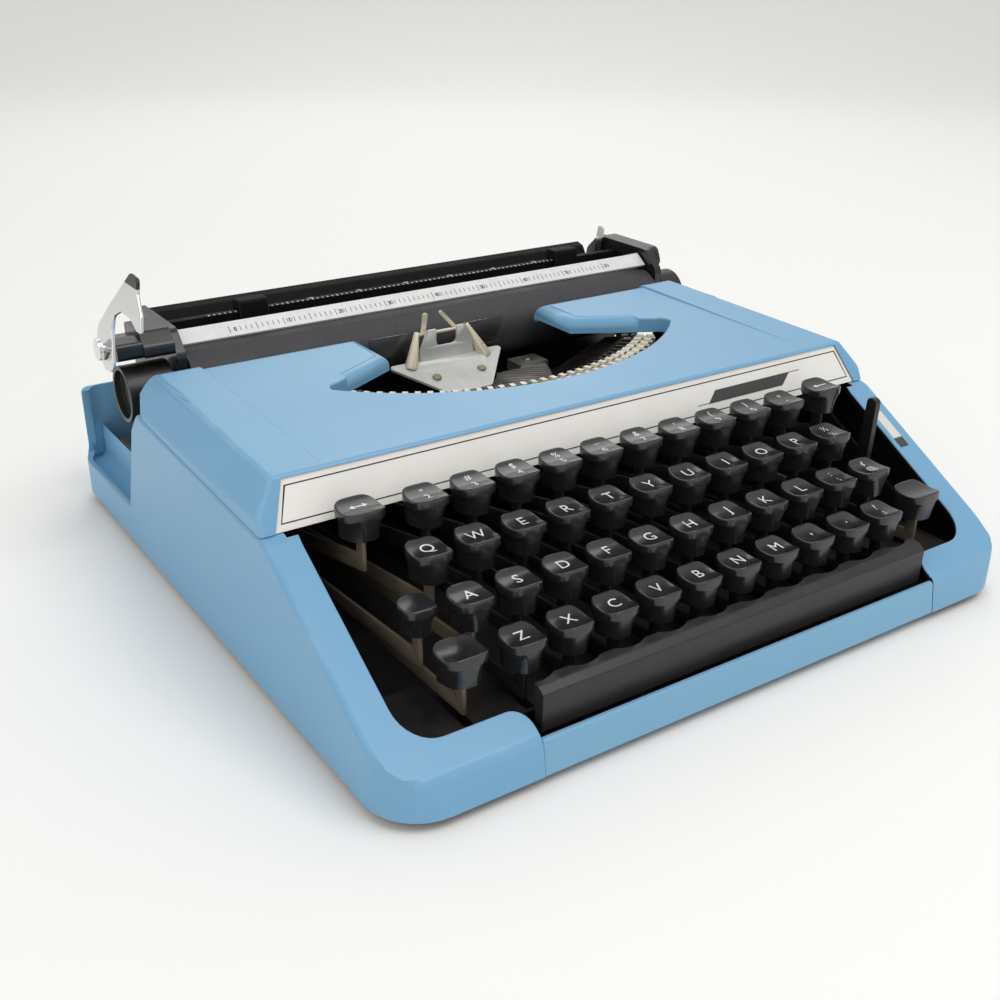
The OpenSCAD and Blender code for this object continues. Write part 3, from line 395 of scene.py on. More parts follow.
def merged_copy(node, join=0.001 * MM):
    """A copy of a solid's mesh with its loose triangles joined into whole faces."""
    bm = bmesh.new()
    bm.from_mesh(NODES[node].data)
    bm.faces.layers.float.new(EDGE)
    bmesh.ops.remove_doubles(bm, verts=bm.verts, dist=join)
    bmesh.ops.dissolve_degenerate(bm, edges=bm.edges, dist=join / 2)
    bmesh.ops.dissolve_limit(
        bm, angle_limit=math.radians(0.6), use_dissolve_boundaries=False, verts=bm.verts, edges=bm.edges
    )
    return bm


def sharp_edges(bm, angle=SHARP):
    return [e for e in bm.edges if len(e.link_faces) == 2 and e.calc_face_angle(0.0) > math.radians(angle)]


def soften(bm, width, segments=2, angle=SHARP, edges=None):
    """Rounds the edges that are sharper than the angle, or the edges given, and marks them."""
    made = bmesh.ops.bevel(
        bm, geom=sharp_edges(bm, angle) if edges is None else edges, offset=width, offset_type="OFFSET",
        segments=segments, profile=0.5, affect="EDGES", clamp_overlap=edges is None, miter_outer="ARC",
        miter_inner="SHARP", loop_slide=True,
    )
    mark = bm.faces.layers.float[EDGE]
    for face in made["faces"]:
        face[mark] = 1.0


def middle_of(edge):
    """Middle of an edge in millimetres."""
    return (edge.verts[0].co + edge.verts[1].co) / 2 / MM


def stands_between(edge, test):
    """Whether an edge is convex and its two faces meet a test, in one order or the other."""
    a, b = edge.link_faces
    return edge.is_convex and (test(a, b) or test(b, a))


def loose_parts(bm):
    """Groups of faces that hang together."""
    left = set(bm.faces)
    groups = []
    while left:
        stack = [left.pop()]
        group = list(stack)
        while stack:
            for edge in stack.pop().edges:
                for face in edge.link_faces:
                    if face in left:
                        left.remove(face)
                        stack.append(face)
                        group.append(face)
        groups.append(group)
    return groups


def box_of(faces):
    points = [v.co for f in faces for v in f.verts]
    low = Vector([min(p[i] for p in points) for i in range(3)])
    high = Vector([max(p[i] for p in points) for i in range(3)])
    return low, high


def split_finish(bm, is_second):
    """Gives the faces that pass a test the piece's second finish."""
    for face in bm.faces:
        face.material_index = 1 if is_second(face) else 0


def finished_piece(name, bm, finishes, body, stands_for=(), smooth=SMOOTH, flat_faces=False):
    """Turns a mesh into a piece that rides on a body."""
    mesh = mesh_from(name, bm)
    for each in finishes:
        mesh.materials.append(finish(each))
    mesh.shade_smooth()
    mesh.set_sharp_from_angle(angle=math.radians(smooth))
    obj = placed(name, mesh)
    if flat_faces:
        weighted = obj.modifiers.new("Flat faces", "WEIGHTED_NORMAL")
        weighted.keep_sharp = True
    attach(obj, body)
    if stands_for:
        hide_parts(*stands_for)
    return obj


def dressed_piece(node, bm, finishes, smooth=SMOOTH, flat_faces=True):
    """Turns a mesh into the piece that stands for a solid, on the solid's body."""
    return finished_piece(node + ".dressed", bm, finishes, BODY_OF[node], [node], smooth, flat_faces)


def dress(node, finish_name, width=0.0, segments=2):
    """Replaces a solid by a copy with rounded edges and a finish, or only gives the solid its finish."""
    if width == 0.0:
        for place in NODES[node].material_slots:
            place.material = finish(finish_name)
        return
    bm = merged_copy(node)
    soften(bm, width, segments)
    dressed_piece(node, bm, [finish_name])


def add_loft(bm, rings, material=0):
    """Joins rings of points with sides, closed at both ends."""
    rows = [[bm.verts.new(p) for p in ring] for ring in rings]
    faces = [bm.faces.new(list(reversed(rows[0]))), bm.faces.new(rows[-1])]
    for a, b in zip(rows, rows[1:]):
        for i in range(len(a)):
            k = (i + 1) % len(a)
            faces.append(bm.faces.new((a[i], a[k], b[k], b[i])))
    for face in faces:
        face.material_index = material
    return faces


def add_sheet(bm, points, normal, thick, material=0):
    """A thin closed plate over a ring of points."""
    lift = Vector(normal).normalized() * thick
    faces = add_loft(bm, [points, [Vector(p) + lift for p in points]], material)
    bmesh.ops.recalc_face_normals(bm, faces=faces)


def text_mesh(words, height, thick=0.03 * MM):
    """Flat lettering as a thin mesh about its own middle."""
    # Height of a capital as a share of the font's size
    capital = 0.73
    curve = bpy.data.curves.new("lettering", "FONT")
    curve.body = words
    curve.size = height / capital
    curve.extrude = thick / 2
    curve.resolution_u = 3
    holder = placed("lettering", curve)
    mesh = final_mesh(holder)
    bpy.data.objects.remove(holder)
    bpy.data.curves.remove(curve)
    across, along = [v.co.x for v in mesh.vertices], [v.co.y for v in mesh.vertices]
    middle = Vector(((min(across) + max(across)) / 2, (min(along) + max(along)) / 2, 0))
    for v in mesh.vertices:
        v.co -= middle
    return mesh


def add_mesh(bm, mesh, place, material=0):
    """Adds a mesh after moving each of its points by a function, then drops it."""
    for v in mesh.vertices:
        v.co = place(v.co)
    for face in mesh.polygons:
        face.material_index = material
    bm.from_mesh(mesh)
    bpy.data.meshes.remove(mesh)


# Geometry node trees


def end_tree(tree, start, end, points, shape, turn, size=(1, 1, 1)):
    """Sets a shape on each point, makes the copies real and gives them their finish."""
    inputs = {"Points": points, "Instance": shape, "Rotation": turn, "Scale": size}
    copies = add_node(tree, "GeometryNodeInstanceOnPoints", inputs).outputs[0]
    real = add_node(tree, "GeometryNodeRealizeInstances", {"Geometry": copies}).outputs[0]
    painted = add_node(tree, "GeometryNodeSetMaterial", {"Geometry": real, "Material": start["Finish"]})
    set_inputs(tree, end, {"Geometry": painted.outputs[0]})
    return tree


def xyz(tree, **parts):
    return add_node(tree, "ShaderNodeCombineXYZ", parts).outputs[0]


def tick_tree():
    """A row of scale ticks, each fifth and tenth one longer."""
    ins = {"Count": COUNT, "Start": VECTOR, "Pitch": FLOAT, "Tick": VECTOR, "Longer": FLOAT, "Tilt": VECTOR}
    tree, start, end = new_tree(GEOMETRY, "Scale Ticks", {**ins, "Finish": MATERIAL}, {"Geometry": MESH})
    row = {"Count": start["Count"], "Start Location": start["Start"], "Offset": xyz(tree, X=start["Pitch"])}
    line = add_node(tree, "GeometryNodeMeshLine", row)
    index = add_node(tree, "GeometryNodeInputIndex").outputs[0]
    long = maths(tree, "LESS_THAN", maths(tree, "MODULO", index, 5.0), 0.5)
    size = xyz(tree, X=1.0, Y=maths(tree, "MULTIPLY_ADD", long, start["Longer"], 1.0), Z=1.0)
    tick = add_node(tree, "GeometryNodeMeshCube", {"Size": start["Tick"]})
    return end_tree(tree, start, end, line.outputs[0], tick.outputs[0], start["Tilt"], size)


def fan_tree():
    """Typebars, or the heads at their ends, fanned from the segment to an arc along the basket's front."""
    lengths = ("Arc Radius", "Low Radius", "Root", "Length", "Low Rise", "High Rise", "At Rim")
    tree, ins, end = new_tree(
        GEOMETRY, "Typebar Fan",
        {
            "Count": COUNT, "Span": FLOAT, "Raised Span": FLOAT, "Centre": VECTOR, "Arc Centre": VECTOR,
            **dict.fromkeys(lengths, FLOAT), "Shape": SHAPE, "Finish": MATERIAL,
        },
        {"Geometry": MESH},
    )
    calc = partial(maths, tree)

    def vectors(operation, inputs):
        return add_node(tree, "ShaderNodeVectorMath", inputs, operation=operation).outputs

    def mixed(low, high, share):
        return calc("MULTIPLY_ADD", calc("SUBTRACT", high, low), share, low)

    line = add_node(tree, "GeometryNodeMeshLine", {"Count": ins["Count"], "Offset": (0, 0, 0)})
    index = add_node(tree, "GeometryNodeInputIndex").outputs[0]
    share = calc("DIVIDE", index, calc("SUBTRACT", ins["Count"], 1.0))
    swing = calc("MULTIPLY", calc("SUBTRACT", share, 0.5), ins["Span"])
    turn = calc("SUBTRACT", swing, math.pi / 2)
    raised = calc("LESS_THAN", calc("ABSOLUTE", swing), calc("MULTIPLY", ins["Raised Span"], 0.5))
    way = xyz(tree, X=calc("COSINE", turn), Y=calc("SINE", turn))
    # Distance along the bar at which it meets the arc
    apart = vectors("SUBTRACT", {0: ins["Centre"], 1: ins["Arc Centre"]})[0]
    along = vectors("DOT_PRODUCT", {0: apart, 1: way})["Value"]
    apart_squared = vectors("DOT_PRODUCT", {0: apart, 1: apart})["Value"]
    inside = calc("SUBTRACT", calc("MULTIPLY", ins["Arc Radius"], ins["Arc Radius"]), apart_squared)
    arc = calc("SUBTRACT", calc("SQRT", calc("MULTIPLY_ADD", along, along, inside)), along)
    reach = mixed(ins["Low Radius"], arc, raised)
    rise = mixed(ins["Low Rise"], ins["High Rise"], raised)
    stretch = calc("DIVIDE", calc("SUBTRACT", reach, ins["Root"]), ins["Length"])
    lift = calc("DIVIDE", rise, ins["High Rise"])
    out = vectors("SCALE", {"Vector": way, "Scale": mixed(ins["Root"], reach, ins["At Rim"])})[0]
    up = xyz(tree, Z=calc("MULTIPLY", rise, ins["At Rim"]))
    spot = vectors("ADD", {0: vectors("ADD", {0: ins["Centre"], 1: out})[0], 1: up})[0]
    moved = add_node(tree, "GeometryNodeSetPosition", {"Geometry": line.outputs[0], "Position": spot})
    size = xyz(tree, X=mixed(stretch, 1.0, ins["At Rim"]), Y=1.0, Z=mixed(lift, 1.0, ins["At Rim"]))
    shape = add_node(tree, "GeometryNodeObjectInfo", {"Object": ins["Shape"]}).outputs["Geometry"]
    return end_tree(tree, ins, end, moved.outputs[0], shape, xyz(tree, Z=turn), size)


def screw_tree():
    """Slotted screws on points, each turned to the direction that its point carries."""
    tree, start, end = new_tree(
        GEOMETRY, "Screws", {"Geometry": MESH, "Screw": SHAPE, "Finish": MATERIAL}, {"Geometry": MESH}
    )
    facing = add_node(tree, "GeometryNodeInputNamedAttribute", {"Name": "facing"}, data_type="FLOAT_VECTOR")
    turn = add_node(tree, "FunctionNodeAlignRotationToVector", {"Vector": facing.outputs[0]}, axis="Z")
    screw = add_node(tree, "GeometryNodeObjectInfo", {"Object": start["Screw"]}).outputs["Geometry"]
    return end_tree(tree, start, end, start["Geometry"], screw, turn.outputs[0])


def grown_piece(name, tree, values, body, base=None):
    """Runs a geometry node tree and makes its result a piece that rides on a body."""
    holder = placed(name, base or bpy.data.meshes.new(name))
    modifier = holder.modifiers.new("Build", "NODES")
    modifier.node_group = tree
    for item in tree.interface.items_tree:
        if item.in_out == "INPUT" and item.name in values:
            modifier[item.identifier] = values[item.name]
    mesh = final_mesh(holder)
    holder.modifiers.remove(modifier)
    bpy.data.objects.remove(holder)
    if len(mesh.polygons) == 0:
        raise RuntimeError(name + " came out empty")
    mesh.name = name
    obj = placed(name, mesh)
    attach(obj, body)
    return obj


# Key caps

CAP_STEPS = 64
# How square a cap's outline is at its front and at its back
CAP_FRONT, CAP_BACK = 4.0, 3.2
# Radius and depth of the finger dish, and how far its middle stands behind the cap's
CAP_DISH, CAP_DISH_DEPTH, CAP_DISH_BACK = 17.0 * MM, 1.4 * MM, -0.5 * MM
# Below this share of its height a cap draws in: its front narrows to a stem, its back stays wide
CAP_BELT = 0.72
CAP_STEM, CAP_SKIRT = 3.8 * MM, 0.6 * MM
CAP_LEAN_FRONT, CAP_LEAN_BACK = 0.07, 0.25
# Heights of a cap's rings as shares of the height below its lip
CAP_SIDE = [0.0, 0.1, 0.2, 0.3, 0.4, 0.48, 0.55, 0.61, 0.66, 0.695, 0.72, 0.82, 0.92]
# Distances of the rings on its top from the outline, and the least half width of a ring
CAP_TOP = [0.9, 1.4, 2.4, 3.4, 4.4, 5.4, 6.2, 6.7]
CAP_LEAST = 0.3 * MM
CAP_LIP, CAP_LIP_STEPS = 0.7 * MM, 6
# Depth that tells a cap from a lever
CAP_DEEPEST = 30 * MM
# Height of a legend's foot over the dish, and the thickness of an arrow
LEGEND_LIFT, ARROW_THICK = 0.03 * MM, 0.04 * MM

LEGENDS = {
    "key_half": ("½", "¼"), "key_semicolon": (":", ";"), "key_at": ("¢", "@"), "key_comma": (",",),
    "key_period": (".",), "key_slash": ("?", "/"),
}
# Upper and lower signs of the figure row, from left to right
FIGURES = list(zip("\"#$%_&'()*", "234567890-"))
# Keys at the left, whose levers get the paler tan finish
TAN_LEVERS = ("margin_release_key", "shift_lock", "key_q", "key_a", "shift_keys")


def cap_ring(middle, half_w, half_d, share):
    """Points round a cap at a share of its height."""
    up = min(share / CAP_BELT, 1.0)
    draw = math.sqrt(1.0 - up * up)
    points = []
    for i in range(CAP_STEPS):
        turn = 2 * math.pi * (i + 0.5) / CAP_STEPS
        c, s = math.cos(turn), math.sin(turn)
        square = 2 / (CAP_BACK if s > 0 else CAP_FRONT)
        x = math.copysign(abs(c) ** square, c) * half_w
        y = math.copysign(abs(s) ** square, s) * half_d
        ahead = 0.5 - y / half_d / 2
        x *= 1.0 - draw * (CAP_SKIRT + (CAP_STEM - CAP_SKIRT) * ahead**3) / half_w
        y *= 1.0 - (CAP_LEAN_BACK * draw if s > 0 else CAP_LEAN_FRONT * (1.0 - up))
        points.append(Vector((middle.x + x, middle.y + y, 0)))
    return points


def dish_height(y, top):
    """Height of the cap's top at a distance behind its middle."""
    back = y - CAP_DISH_BACK
    return min(top, top + CAP_DISH - CAP_DISH_DEPTH - math.sqrt(max(CAP_DISH**2 - back**2, 0.0)))


def add_cap(bm, low, high):
    """A key cap that draws in below its rim, with a finger dish, in the box of its solid."""
    middle = (low + high) / 2
    half_w, half_d = (high.x - low.x) / 2, (high.y - low.y) / 2

    def ring(inset, share, height):
        points = cap_ring(middle, max(half_w - inset, CAP_LEAST), max(half_d - inset, CAP_LEAST), share)
        return [(p.x, p.y, height(dish_height(p.y - middle.y, high.z))) for p in points]

    rings = [ring(0.0, share, lambda top: low.z + share * (top - CAP_LIP - low.z)) for share in CAP_SIDE]
    for i in range(CAP_LIP_STEPS + 1):
        turn = math.pi / 2 * i / CAP_LIP_STEPS
        inset = CAP_LIP * (1 - math.cos(turn))
        rings.append(ring(inset, 1.0, lambda top: top - CAP_LIP * (1 - math.sin(turn))))
    rings += [ring(inset * MM, 1.0, lambda top: top) for inset in CAP_TOP]
    add_loft(bm, rings)


def add_legend(bm, signs, low, high, material):
    """Letters laid on the dish of a cap."""
    middle = (low + high) / 2

    def on_dish(at_y, grow, p):
        y = p.y * grow + at_y
        return Vector((middle.x + p.x * grow, middle.y + y, dish_height(y, high.z) + p.z + LEGEND_LIFT))

    if len(signs) == 1:
        rows = [(sizes().letter, 0.4 * MM, 1.0)]
    else:
        rows = [(sizes().figure, 2.9 * MM, 0.9), (sizes().figure, -2.0 * MM, 1.0)]
    for sign, (height, at_y, grow) in zip(signs, rows):
        add_mesh(bm, text_mesh(sign, height), partial(on_dish, at_y, grow), material)


def add_arrow(bm, heads, low, high, material):
    """A plain arrow on a cap, with one head or two."""
    middle = (low + high) / 2
    reach, tip, half, stem, back = 3.4 * MM, 1.7 * MM, 1.2 * MM, 0.28 * MM, 0.6 * MM
    left = [(-reach + tip, stem), (-reach + tip, half), (-reach, 0)]
    if heads == 2:
        upper = [(reach, 0), (reach - tip, half), (reach - tip, stem)] + left
        outline = upper + [(x, -y) for x, y in reversed(upper) if y > 0]
    else:
        outline = [(reach, -stem), (reach, stem)] + left + [(x, -y) for x, y in reversed(left) if y > 0]
    ring = [
        Vector((middle.x + x, middle.y + y + back, dish_height(y + back, high.z) + LEGEND_LIFT))
        for x, y in outline
    ]
    add_sheet(bm, ring, (0, 0, 1), ARROW_THICK, material)


def key_piece(node, legends):
    """Caps, levers and legends of one key node as a single piece. Legends run from left to right."""
    bm = merged_copy(node)
    boxes = [(*box_of(group), group) for group in loose_parts(bm)]
    caps = sorted((b for b in boxes if b[1].y - b[0].y < CAP_DEEPEST), key=lambda b: b[0].x)
    bmesh.ops.delete(bm, geom=[face for _, _, group in caps for face in group], context="FACES")
    soften(bm, 0.12 * MM, 1)
    for face in bm.faces:
        face.material_index = 1
    for low, high, _ in caps:
        add_cap(bm, low, high)
    for (low, high, _), signs in zip(caps, legends):
        add = add_arrow if isinstance(signs, int) else add_legend
        add(bm, signs, low, high, 2)
    lever = "lever_tan" if node in TAN_LEVERS else "lever_steel"
    dressed_piece(node, bm, ["key_black", lever, "legend_white"], smooth=50, flat_faces=False)


# Operators


class TypewriterOperator(bpy.types.Operator):
    """Base of the operators that build the typewriter"""

    bl_options = {"REGISTER", "UNDO"}

    def execute(self, context):
        self.build()
        return {"FINISHED"}


class TYPEWRITER_OT_stage(TypewriterOperator):
    """Sets the pale floor, the soft lights and the camera"""

    bl_idname = "typewriter.stage"
    bl_label = "Stage"

    def build(self):
        scene = bpy.context.scene
        scene.view_settings.view_transform = "Standard"
        self.floor()
        self.lights(scene)
        self.camera(scene)

    def floor(self):
        """A floor that sweeps up into a backdrop, square to the camera."""
        reach, back, rise, bend, steps, turned = 9.0, 1.6, 3.0, 0.9, 12, -34
        profile = [(-reach, 0.0), (back, 0.0)]
        for i in range(1, steps + 1):
            turn = math.pi / 2 * i / steps
            profile.append((back + bend * math.sin(turn), bend * (1 - math.cos(turn))))
        profile.append((back + bend, rise))
        bm = bmesh.new()
        rows = [[bm.verts.new((x, y, z)) for y, z in profile] for x in (-reach, reach)]
        for i in range(len(profile) - 1):
            bm.faces.new((rows[0][i], rows[1][i], rows[1][i + 1], rows[0][i + 1]))
        turn = Matrix.Rotation(math.radians(turned), 3, "Z")
        bmesh.ops.rotate(bm, verts=bm.verts, cent=(0, 0, 0), matrix=turn)
        mesh = mesh_from("floor", bm)
        mesh.shade_smooth()
        mat = bpy.data.materials.new("floor_paper")
        mat.use_nodes = True
        tree = mat.node_tree
        paper = {"Colour": rgba(paint(248, 247, 243)), "Scale": 1.5, "Spread": 0.02}
        set_inputs(tree, tree.nodes["Principled BSDF"], {
            "Base Color": place_group(tree, "Mottle", paper)["Colour"], "Roughness": 0.8,
            "Specular IOR Level": 0.2,
        })
        mesh.materials.append(mat)
        floor = placed("floor", mesh)

    def lights(self, scene):
        """A pale sky and three soft lamps, each with its place, size and power."""
        world = bpy.data.worlds.new("studio")
        world.use_nodes = True
        sky = world.node_tree.nodes["Background"]
        sky.inputs["Color"].default_value = (0.97, 0.98, 1.0, 1.0)
        sky.inputs["Strength"].default_value = 0.66
        scene.world = world
        target = Vector((0.0, 0.0, 0.05))
        for name, place, size, power in (
            ("window", (0.35, -0.75, 1.45), 1.0, 8.5),
            ("fill", (-1.1, -0.5, 0.9), 1.2, 3.0),
            ("back", (0.75, 1.2, 1.1), 1.2, 4.5),
        ):
            lamp = bpy.data.lights.new(name, "AREA")
            lamp.shape = "DISK"
            lamp.size = size
            lamp.energy = power
            holder = placed(name, lamp)
            holder.location = place
            holder.rotation_euler = (target - Vector(place)).to_track_quat("-Z", "Y").to_euler()

    def camera(self, scene):
        lens = bpy.data.cameras.new("camera")
        lens.sensor_width = 36.0
        lens.sensor_fit = "HORIZONTAL"
        lens.lens = 43.92
        lens.clip_start = 0.01
        right = Vector((0.83136, -0.55569, 0.00701))
        down = Vector((-0.23127, -0.35740, -0.90486))
        ahead = Vector((0.50533, 0.75065, -0.42564))
        place = (-0.27885, -0.40544, 0.24959)
        turn = Matrix((right, -down, -ahead)).transposed()
        holder = placed("camera", lens)
        holder.matrix_world = Matrix.Translation(place) @ turn.to_4x4()
        scene.camera = holder


# Least part of a face's normal that makes it a top, and the area under which two faces are only slivers
UPWARD = 0.3
SLIVER = 1e-6


class TYPEWRITER_OT_shell(TypewriterOperator):
    """Dresses the lower shell, its front strip, the pan and the feet"""

    bl_idname = "typewriter.shell"
    bl_label = "Lower shell"

    # Millimetres: the outer walls lie beyond these, and the rims and the mouth are rounded up to these
    wall_x, wall_front, wall_back = 144, -149.5, 149
    rim_end, mouth_end = 140, -70
    # Where the inside of the shell takes the painted shade in near black: its half width and its rear end
    inside_x, inside_end = 143.5, 60

    def build(self):
        self.base()
        dress("front_strip", "strip_blue_lightened", 0.4 * MM)
        dress("bottom_pan", "frame_dusty")
        dress("rubber_feet", "rubber_black", 0.5 * MM)
        self.carriage_way()
        self.rail_label()

    def base(self):
        """The shell with rounded rims, blue outside, with painted shade in near black on its undersides and
        in its wells.
        """
        bm = merged_copy("base_shell", 0.2 * MM)
        soften(bm, sizes().shell_round, 4, edges=[e for e in sharp_edges(bm) if self.on_rim(e)])
        soften(bm, sizes().mouth_round, edges=[e for e in sharp_edges(bm, 50) if self.on_mouth(e)])
        split_finish(bm, self.inside)
        dressed_piece("base_shell", bm, ["shell_blue", "shell_painted_shade"])

    def outer_wall(self, face):
        n, c = face.normal, face.calc_center_median() / MM
        out = abs(c.x) > self.wall_x or c.y < self.wall_front or c.y > self.wall_back
        return abs(n.z) < UPWARD and out and n.x * c.x + n.y * c.y > 0

    def inner_wall(self, face):
        n, c = face.normal, face.calc_center_median()
        return abs(n.z) < UPWARD and n.x * c.x + n.y * c.y < 0

    def on_rim(self, edge):
        """An edge between an outer wall and the top of the shell."""

        def wall_and_top(p, q):
            return self.outer_wall(p) and q.normal.z > UPWARD and p.calc_area() + q.calc_area() > SLIVER

        return middle_of(edge).y < self.rim_end and stands_between(edge, wall_and_top)

    def on_mouth(self, edge):
        """An edge between the top of a rail and the wall of the keyboard well."""
        return middle_of(edge).y < self.mouth_end and stands_between(
            edge, lambda p, q: self.inner_wall(p) and q.normal.z > UPWARD
        )

    # Faces that take the painted shade: undersides and the inner walls of the wells
    def inside(self, face):
        c = face.calc_center_median() / MM
        in_well = c.y < self.inside_end and abs(c.x) < self.inside_x and self.inner_wall(face)
        return face.normal.z < -0.2 or in_well

    def carriage_way(self):
        """The moulded floor at each end of the carriage's way, rising against the frame."""
        profile = [(142.9, 19.4), (140.6, 18.4), (137.4, 18.0), (135.4, 18.8), (134.4, 21.0), (134.2, 34.0)]
        # Places along the way, and the greatest x that the rounded rear corner leaves at each
        places = [(77.0, 142.9), (139.0, 142.9), (145.0, 141.2), (149.3, 136.4)]
        thick = 0.8
        ring = profile + [(x, z - thick) for x, z in reversed(profile[:-1])]
        bm = bmesh.new()
        for side in (-1, 1):
            rings = [[mm(side * min(x, widest), y, z) for x, z in ring] for y, widest in places]
            bmesh.ops.recalc_face_normals(bm, faces=add_loft(bm, rings))
        finished_piece("carriage_way", bm, ["shell_blue"], "housing")

    def rail_label(self):
        """A plain strip and a grey patch beside the ribbon colour selector."""
        # Slope of the keyboard rail, and the place and height of its foot
        slope, foot_y, foot_z = 0.5855, -151.0, 18.01
        left, right = 134.6, 139.6
        bm = bmesh.new()
        for material, (rear, front) in enumerate(((-82.4, -95.0), (-95.4, -99.6))):
            corners = [(left, rear), (right, rear), (right, front), (left, front)]
            ring = [mm(x, y, foot_z + (y - foot_y) * slope) for x, y in corners]
            add_sheet(bm, ring, (0, -slope, 1), 0.12 * MM, material)
        finished_piece("rail_label", bm, ["mark_white", "badge_grey"], "housing")


class TYPEWRITER_OT_cover(TypewriterOperator):
    """Dresses the ribbon cover, with its fascia, border line and bare badge"""

    bl_idname = "typewriter.cover"
    bl_label = "Ribbon cover"

    # Foot of the fascia's outer face, and how far the face leans back for each unit of height
    foot_y, foot_z, lean = -65.2, 66.98, 0.4994
    # The sides that are rounded: beyond this x, and up to this y
    side_x, side_end = 133, 25

    def build(self):
        self.cover()
        dress("fascia", "fascia_silver", 0.2 * MM)
        self.lines()

    def cover(self):
        bm = merged_copy("top_cover", 0.1 * MM)
        self.slant_tabs(bm)
        soften(bm, sizes().cover_round, 4, edges=[e for e in sharp_edges(bm, 22) if self.on_outside(e)])
        soften(bm, sizes().mouth_round, edges=[e for e in sharp_edges(bm, 50) if self.on_mouth(e)])
        soften(bm, 0.4 * MM, edges=[e for e in sharp_edges(bm, 50) if self.on_frame(e)])
        dressed_piece("top_cover", bm, ["shell_blue"])

    def slant_tabs(self, bm):
        """Draws the front edges of the rear tabs back towards the gap between them."""
        middle, outer, inner, front, rear, slope = 5.5, 82.0, 47.0, 11.0, 19.0, 0.55
        for v in bm.verts:
            x, y = abs(v.co.x / MM - middle), v.co.y / MM
            if inner < x < outer and front < y < rear:
                v.co.y += slope * (outer - x) * MM

    def on_outside(self, edge):
        """An edge between two of the outer faces at the cover's sides."""
        where = middle_of(edge)
        side = abs(where.x)
        outward = [face.normal.x * where.x for face in edge.link_faces]
        return (
            edge.is_convex and side > self.side_x and where.y < self.side_end
            and all(face.normal.z > -0.05 for face in edge.link_faces)
            and min(outward) > -0.02 * side and max(outward) > 0.4 * side
        )

    def on_mouth(self, edge):
        """An edge between the cover's top and the wall of the type basket opening."""
        return stands_between(edge, lambda p, q: abs(p.normal.z) < 0.1 and q.normal.z > 0.6)

    def on_frame(self, edge):
        """An edge of the opening that the fascia sits in."""

        def face_and_reveal(p, q):
            front = p.normal.y < -0.8 and p.normal.z > 0.3
            return front and q.normal.y > -0.6 and abs(q.normal.x) < 0.9 and q.normal.z < 0.1

        return stands_between(edge, face_and_reveal)

    def on_fascia(self, x, z):
        """A point just before the fascia's outer face."""
        return mm(x, self.foot_y + self.lean * (z - self.foot_z) - 0.02, z)

    def lines(self):
        """A border line, a bare badge and a short line at each end of it."""
        bm = bmesh.new()

        def sheet(points, thick, material=0):
            ring = [self.on_fascia(*p) for p in points]
            add_sheet(bm, ring, (0, -1, self.lean), thick * MM, material)

        low, high, low_x, high_x, line = 69.2, 80.6, 136.6, 132.3, 0.4
        slant = line * 1.3
        outer = [(-low_x, low), (low_x, low), (high_x, high), (-high_x, high)]
        inner = [
            (-low_x + slant, low + line), (low_x - slant, low + line), (high_x - slant, high - line),
            (-high_x + slant, high - line),
        ]
        for i in range(4):
            k = (i + 1) % 4
            sheet((outer[i], outer[k], inner[k], inner[i]), 0.05)
        sheet([(55.2, 72.4), (97.4, 72.4), (102.9, 76.8), (60.2, 76.8)], 0.2, 1)
        half = 0.13
        for x0, x1, z in ((102.6, 109.0, 76.65), (49.4, 55.4, 72.55)):
            sheet([(x0, z - half), (x1, z - half), (x1, z + half), (x0, z + half)], 0.06)
        finished_piece("fascia_lines", bm, ["mark_black", "badge_grey"], "cover")


